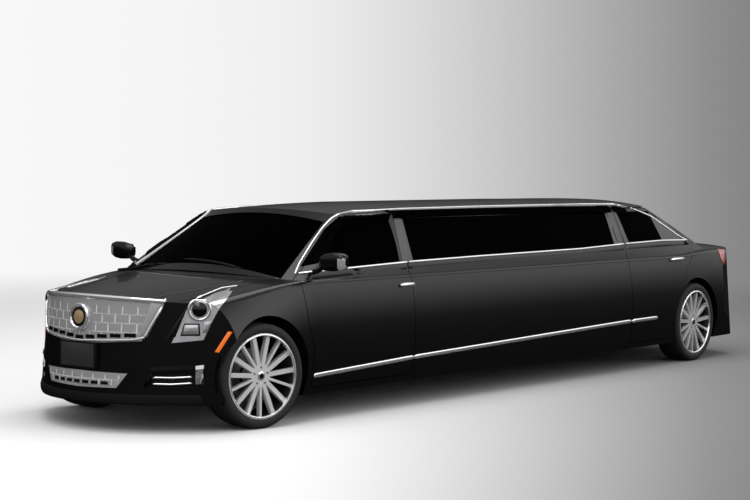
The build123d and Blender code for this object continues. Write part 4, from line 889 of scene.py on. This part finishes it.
# Bonnet creases and wipers. Places along the car are behind the front axle
CREASE_STEPS, CREASE_WIDTH, CREASE_HEIGHT = 24, 0.022, 0.004
CREASE_START, CREASE_LENGTH, CREASE_HALF, CREASE_CLOSING = 0.12, 0.78, 0.56, 0.17
WIPERS = (("left", 0.36), ("right", -0.36))  # side and foot
WIPER_STEPS, WIPER_WIDTH, WIPER_HEIGHT, WIPER_SINK = 8, 0.018, 0.008, 0.012
WIPER_START, WIPER_LENGTH, WIPER_CLIMB, WIPER_STAND = 0.315, 0.56, 0.035, 0.008


def bonnet():
    for word, sign in SIDES:
        hits = []
        for i in range(CREASE_STEPS + 1):
            t = i / CREASE_STEPS
            x = sign * (CREASE_HALF - CREASE_CLOSING * t)
            hits.append(top(x, FRONT_AXLE + CREASE_START - CREASE_LENGTH * t))
        ribbon(f"bonnet_crease_{word}", hits, CREASE_WIDTH, CREASE_HEIGHT, PAINT, "hood", "paint")


def wipers():
    for word, foot in WIPERS:
        arm = []
        for i in range(WIPER_STEPS + 1):
            t = i / WIPER_STEPS
            hit = top(foot - WIPER_LENGTH * t, FRONT_AXLE + WIPER_START + WIPER_CLIMB * t)
            arm.append((hit[0] + hit[1] * WIPER_STAND, hit[1]))
        ribbon(f"wiper_{word}", arm, WIPER_WIDTH, WIPER_HEIGHT, BLACK, "body", "trim", sink=WIPER_SINK)


bonnet()
wipers()

# Rear
LAMP_BAR_SHARE, LAMP_BAR_START, LAMP_BAR_END, LAMP_BAR_POINTS = 0.42, 0.03, 0.09, 10
EXHAUST = ((-0.09, 0.036), (0.0, 0.038), (0.004, 0.036), (0.004, 0.031), (-0.02, 0.029), (-0.09, 0.029))
EXHAUST_X, EXHAUST_Z, EXHAUST_SEAT_Z, EXHAUST_OUT = 0.5, 0.272, 0.3, 0.004
REFLECTOR_START, REFLECTOR_LENGTH, REFLECTOR_STEPS, REFLECTOR_Z = 0.52, 0.20, 6, 0.40
STRIP_HALF, STRIP_STEPS, STRIP_Z = 0.36, 14, 0.835
LAMP_BAR = dict(width=0.022, height=0.004)
REAR_REFLECTOR = dict(width=0.03, height=0.004)
LID_STRIP = dict(width=0.026, height=0.008)
EXHAUST_STEPS = 40


def rear_dress():
    for word, sign in SIDES:
        low, high = (Vector(c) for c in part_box(f"tail_lamp_{word}"))
        tree = tree_of([f"tail_lamp_{word}"])
        z = low.z + (high.z - low.z) * LAMP_BAR_SHARE
        inner, outer = sorted((abs(low.x), abs(high.x)))
        xs = np.linspace(inner + LAMP_BAR_START, outer - LAMP_BAR_END, LAMP_BAR_POINTS)
        hits = [rear(sign * float(x), z, tree) for x in xs]
        ribbon(f"tail_lamp_bar_{word}", hits, mat=WHITE, body="body", slot="lamp", **LAMP_BAR)
        seat = rear(sign * EXHAUST_X, EXHAUST_SEAT_Z)[0].y + EXHAUST_OUT
        lathe(f"exhaust_tip_{word}", EXHAUST, (sign * EXHAUST_X, seat, EXHAUST_Z), (0, 1, 0), CHROME, "body",
              "steel", EXHAUST_STEPS)
        places = [REFLECTOR_START + REFLECTOR_LENGTH * i / REFLECTOR_STEPS for i in range(REFLECTOR_STEPS + 1)]
        hits = [rear(sign * x, REFLECTOR_Z) for x in places]
        ribbon(f"rear_reflector_{word}", hits, mat=RED, body="body", slot="tail_lamp", **REAR_REFLECTOR)
    pixel_patch("tail_glow", RED, "tail_lamp", lift=0.008)
    places = [STRIP_HALF * (2 * i / STRIP_STEPS - 1) for i in range(STRIP_STEPS + 1)]
    ribbon("lid_strip", [rear(x, STRIP_Z) for x in places], mat=CHROME, body="trunk_lid", **LID_STRIP)
    plate_y = rear(0, REAR_PLATE_SEAT_Z)[0].y + REAR_PLATE_BEHIND
    plates(REAR_PLATES, REAR_PLATE_Z, plate_y, way=1, cells=3, sink=0.006)


rear_dress()

# Studio. Columns of SHADES: radians to the right of the camera's direction, shade of the backdrop from 0 to
# 255. The floor's colour takes the same fan, a painted fall-off of light
SHADES = ((-3.1416, 214), (-1.0, 232), (-0.20, 249), (-0.105, 246), (-0.038, 240), (0.013, 223), (0.066, 200),
          (0.119, 172), (0.172, 143), (0.20, 132), (0.8, 176), (3.1416, 214))
GREEN_SHARE = 0.99
FLOOR_GAIN, FLOOR_SIZE, FLOOR_ROUGHNESS, FLOOR_SPECULAR = 0.95, 80, 0.9, 0.1
FLOOR_FADE = (6.5, 15.0)
# Columns: name, place, aim, width, watts, length
LIGHTS = (("key", (3, -9, 7), (0, -2, 0.5), 4, 170, 4), ("side", (11, 0, 5), (0, 1, 0.5), 3, 90, 8),
          ("top", (0, 0, 8), (0, 0, 0), 5, 520, 13))
# The room's light by height, by nearness to the camera's side, and by a soft box beyond the tail
HEIGHT_RANGE, HEIGHT_LEVELS = (-0.02, 0.3), (0.022, 1.0)
NEAR_RANGE, NEAR_LEVELS = (-0.7, 0.7), (0.4, 1.3)
BOX_WAY, BOX_RANGE, BOX_LEVELS = (0.61, 0.79, 0.0), (0.62, 0.97), (1.0, 5.0)
ROOM_STRENGTH = 0.62


def linear(value):
    """A shade from 0 to 255, as the screen's curve gives it, to a share of light."""
    c = value / 255
    return c / 12.92 if c <= 0.04045 else ((c + 0.055) / 1.055) ** 2.4


def shade_ramp(tree, angle, gain=1.0):
    start, end = SHADES[0][0], SHADES[-1][0]
    ramp = add_node(tree, "ValToRGB", {"Fac": map_range(tree, angle, (start, end))})
    points = ramp.color_ramp.elements
    for k, (at, value) in enumerate(SHADES):
        place = (at - start) / (end - start)
        point = points[0] if k == 0 else points[-1] if k == len(SHADES) - 1 else points.new(place)
        point.position = place
        level = min(1.0, linear(value) * gain)
        point.color = (level, level * GREEN_SHARE, level, 1)
    return ramp.outputs["Color"]


def turn_right(tree, socket):
    """How far to the picture's right a direction points, in radians: one fixed fan of shades in the room."""
    return combine(tree, "ARCTAN2", dot_with(tree, socket, CAM_RIGHT), dot_with(tree, socket, CAM_AHEAD))


def add_stage():
    """A pale floor that fades out into the backdrop. Its colour is painted darker toward the camera's right, a
    painted fall-off of light.
    """
    mat = bpy.data.materials.new("studio")
    mat.use_nodes = True
    tree = mat.node_tree
    shader = tree.nodes["Principled BSDF"]
    shader.inputs["Roughness"].default_value = FLOOR_ROUGHNESS
    shader.inputs["Specular IOR Level"].default_value = FLOOR_SPECULAR
    place = add_node(tree, "NewGeometry").outputs["Position"]
    shift = add_node(tree, "VectorMath", {0: place}, {1: CAM_AT}, operation="SUBTRACT").outputs[0]
    # Painted shade: the floor's colour grows darker toward the camera's right, by the backdrop's fan of shades
    tree.links.new(shade_ramp(tree, turn_right(tree, shift), FLOOR_GAIN), shader.inputs["Base Color"])
    far = add_node(tree, "VectorMath", {0: place}, operation="LENGTH").outputs["Value"]
    clear = add_node(tree, "BsdfTransparent").outputs[0]
    mix = add_node(tree, "MixShader", {0: map_range(tree, far, FLOOR_FADE, kind="SMOOTHSTEP"),
                                       1: shader.outputs[0], 2: clear})
    tree.links.new(mix.outputs[0], tree.nodes["Material Output"].inputs["Surface"])
    bpy.ops.mesh.primitive_plane_add(size=FLOOR_SIZE)
    floor = bpy.context.active_object
    floor.name = "floor"
    floor.data.materials.append(mat)
    floor.visible_glossy = False


def area_light(name, at, aim, width, power, length):
    data = bpy.data.lights.new(name, "AREA")
    data.energy = power
    data.shape = "RECTANGLE"
    data.size = width
    data.size_y = length
    lamp = bpy.data.objects.new(name, data)
    lamp.location = at
    lamp.rotation_euler = (Vector(aim) - Vector(at)).to_track_quat("-Z", "Y").to_euler()
    lamp.visible_camera = False
    scene.collection.objects.link(lamp)


def add_world():
    """The room: one background lights the object, and another shows behind it."""
    world = bpy.data.worlds.new("world")
    scene.world = world
    world.use_nodes = True
    tree = world.node_tree
    way = add_node(tree, "TexCoord").outputs["Generated"]
    height = add_node(tree, "SeparateXYZ", {0: way}).outputs["Z"]
    height = map_range(tree, height, HEIGHT_RANGE, HEIGHT_LEVELS, "SMOOTHSTEP")
    near = map_range(tree, dot_with(tree, way, -CAM_AHEAD), NEAR_RANGE, NEAR_LEVELS, "SMOOTHSTEP")
    soft_box = map_range(tree, dot_with(tree, way, BOX_WAY), BOX_RANGE, BOX_LEVELS, "SMOOTHSTEP")
    level = combine(tree, "MULTIPLY", height, combine(tree, "MULTIPLY", near, soft_box))
    lit = tree.nodes["Background"]
    tree.links.new(level, lit.inputs["Color"])
    lit.inputs["Strength"].default_value = ROOM_STRENGTH
    shown = add_node(tree, "Background", {"Color": shade_ramp(tree, turn_right(tree, way))}, {"Strength": 1.0})
    path = add_node(tree, "LightPath").outputs
    direct = combine(tree, "ADD", path["Is Camera Ray"], path["Is Transmission Ray"], use_clamp=True)
    pick = add_node(tree, "MixShader", {0: direct, 1: lit.outputs[0], 2: shown.outputs[0]})
    tree.links.new(pick.outputs[0], tree.nodes["World Output"].inputs["Surface"])


add_stage()
for light in LIGHTS:
    area_light(*light)
add_world()
scene.view_settings.view_transform = "Standard"
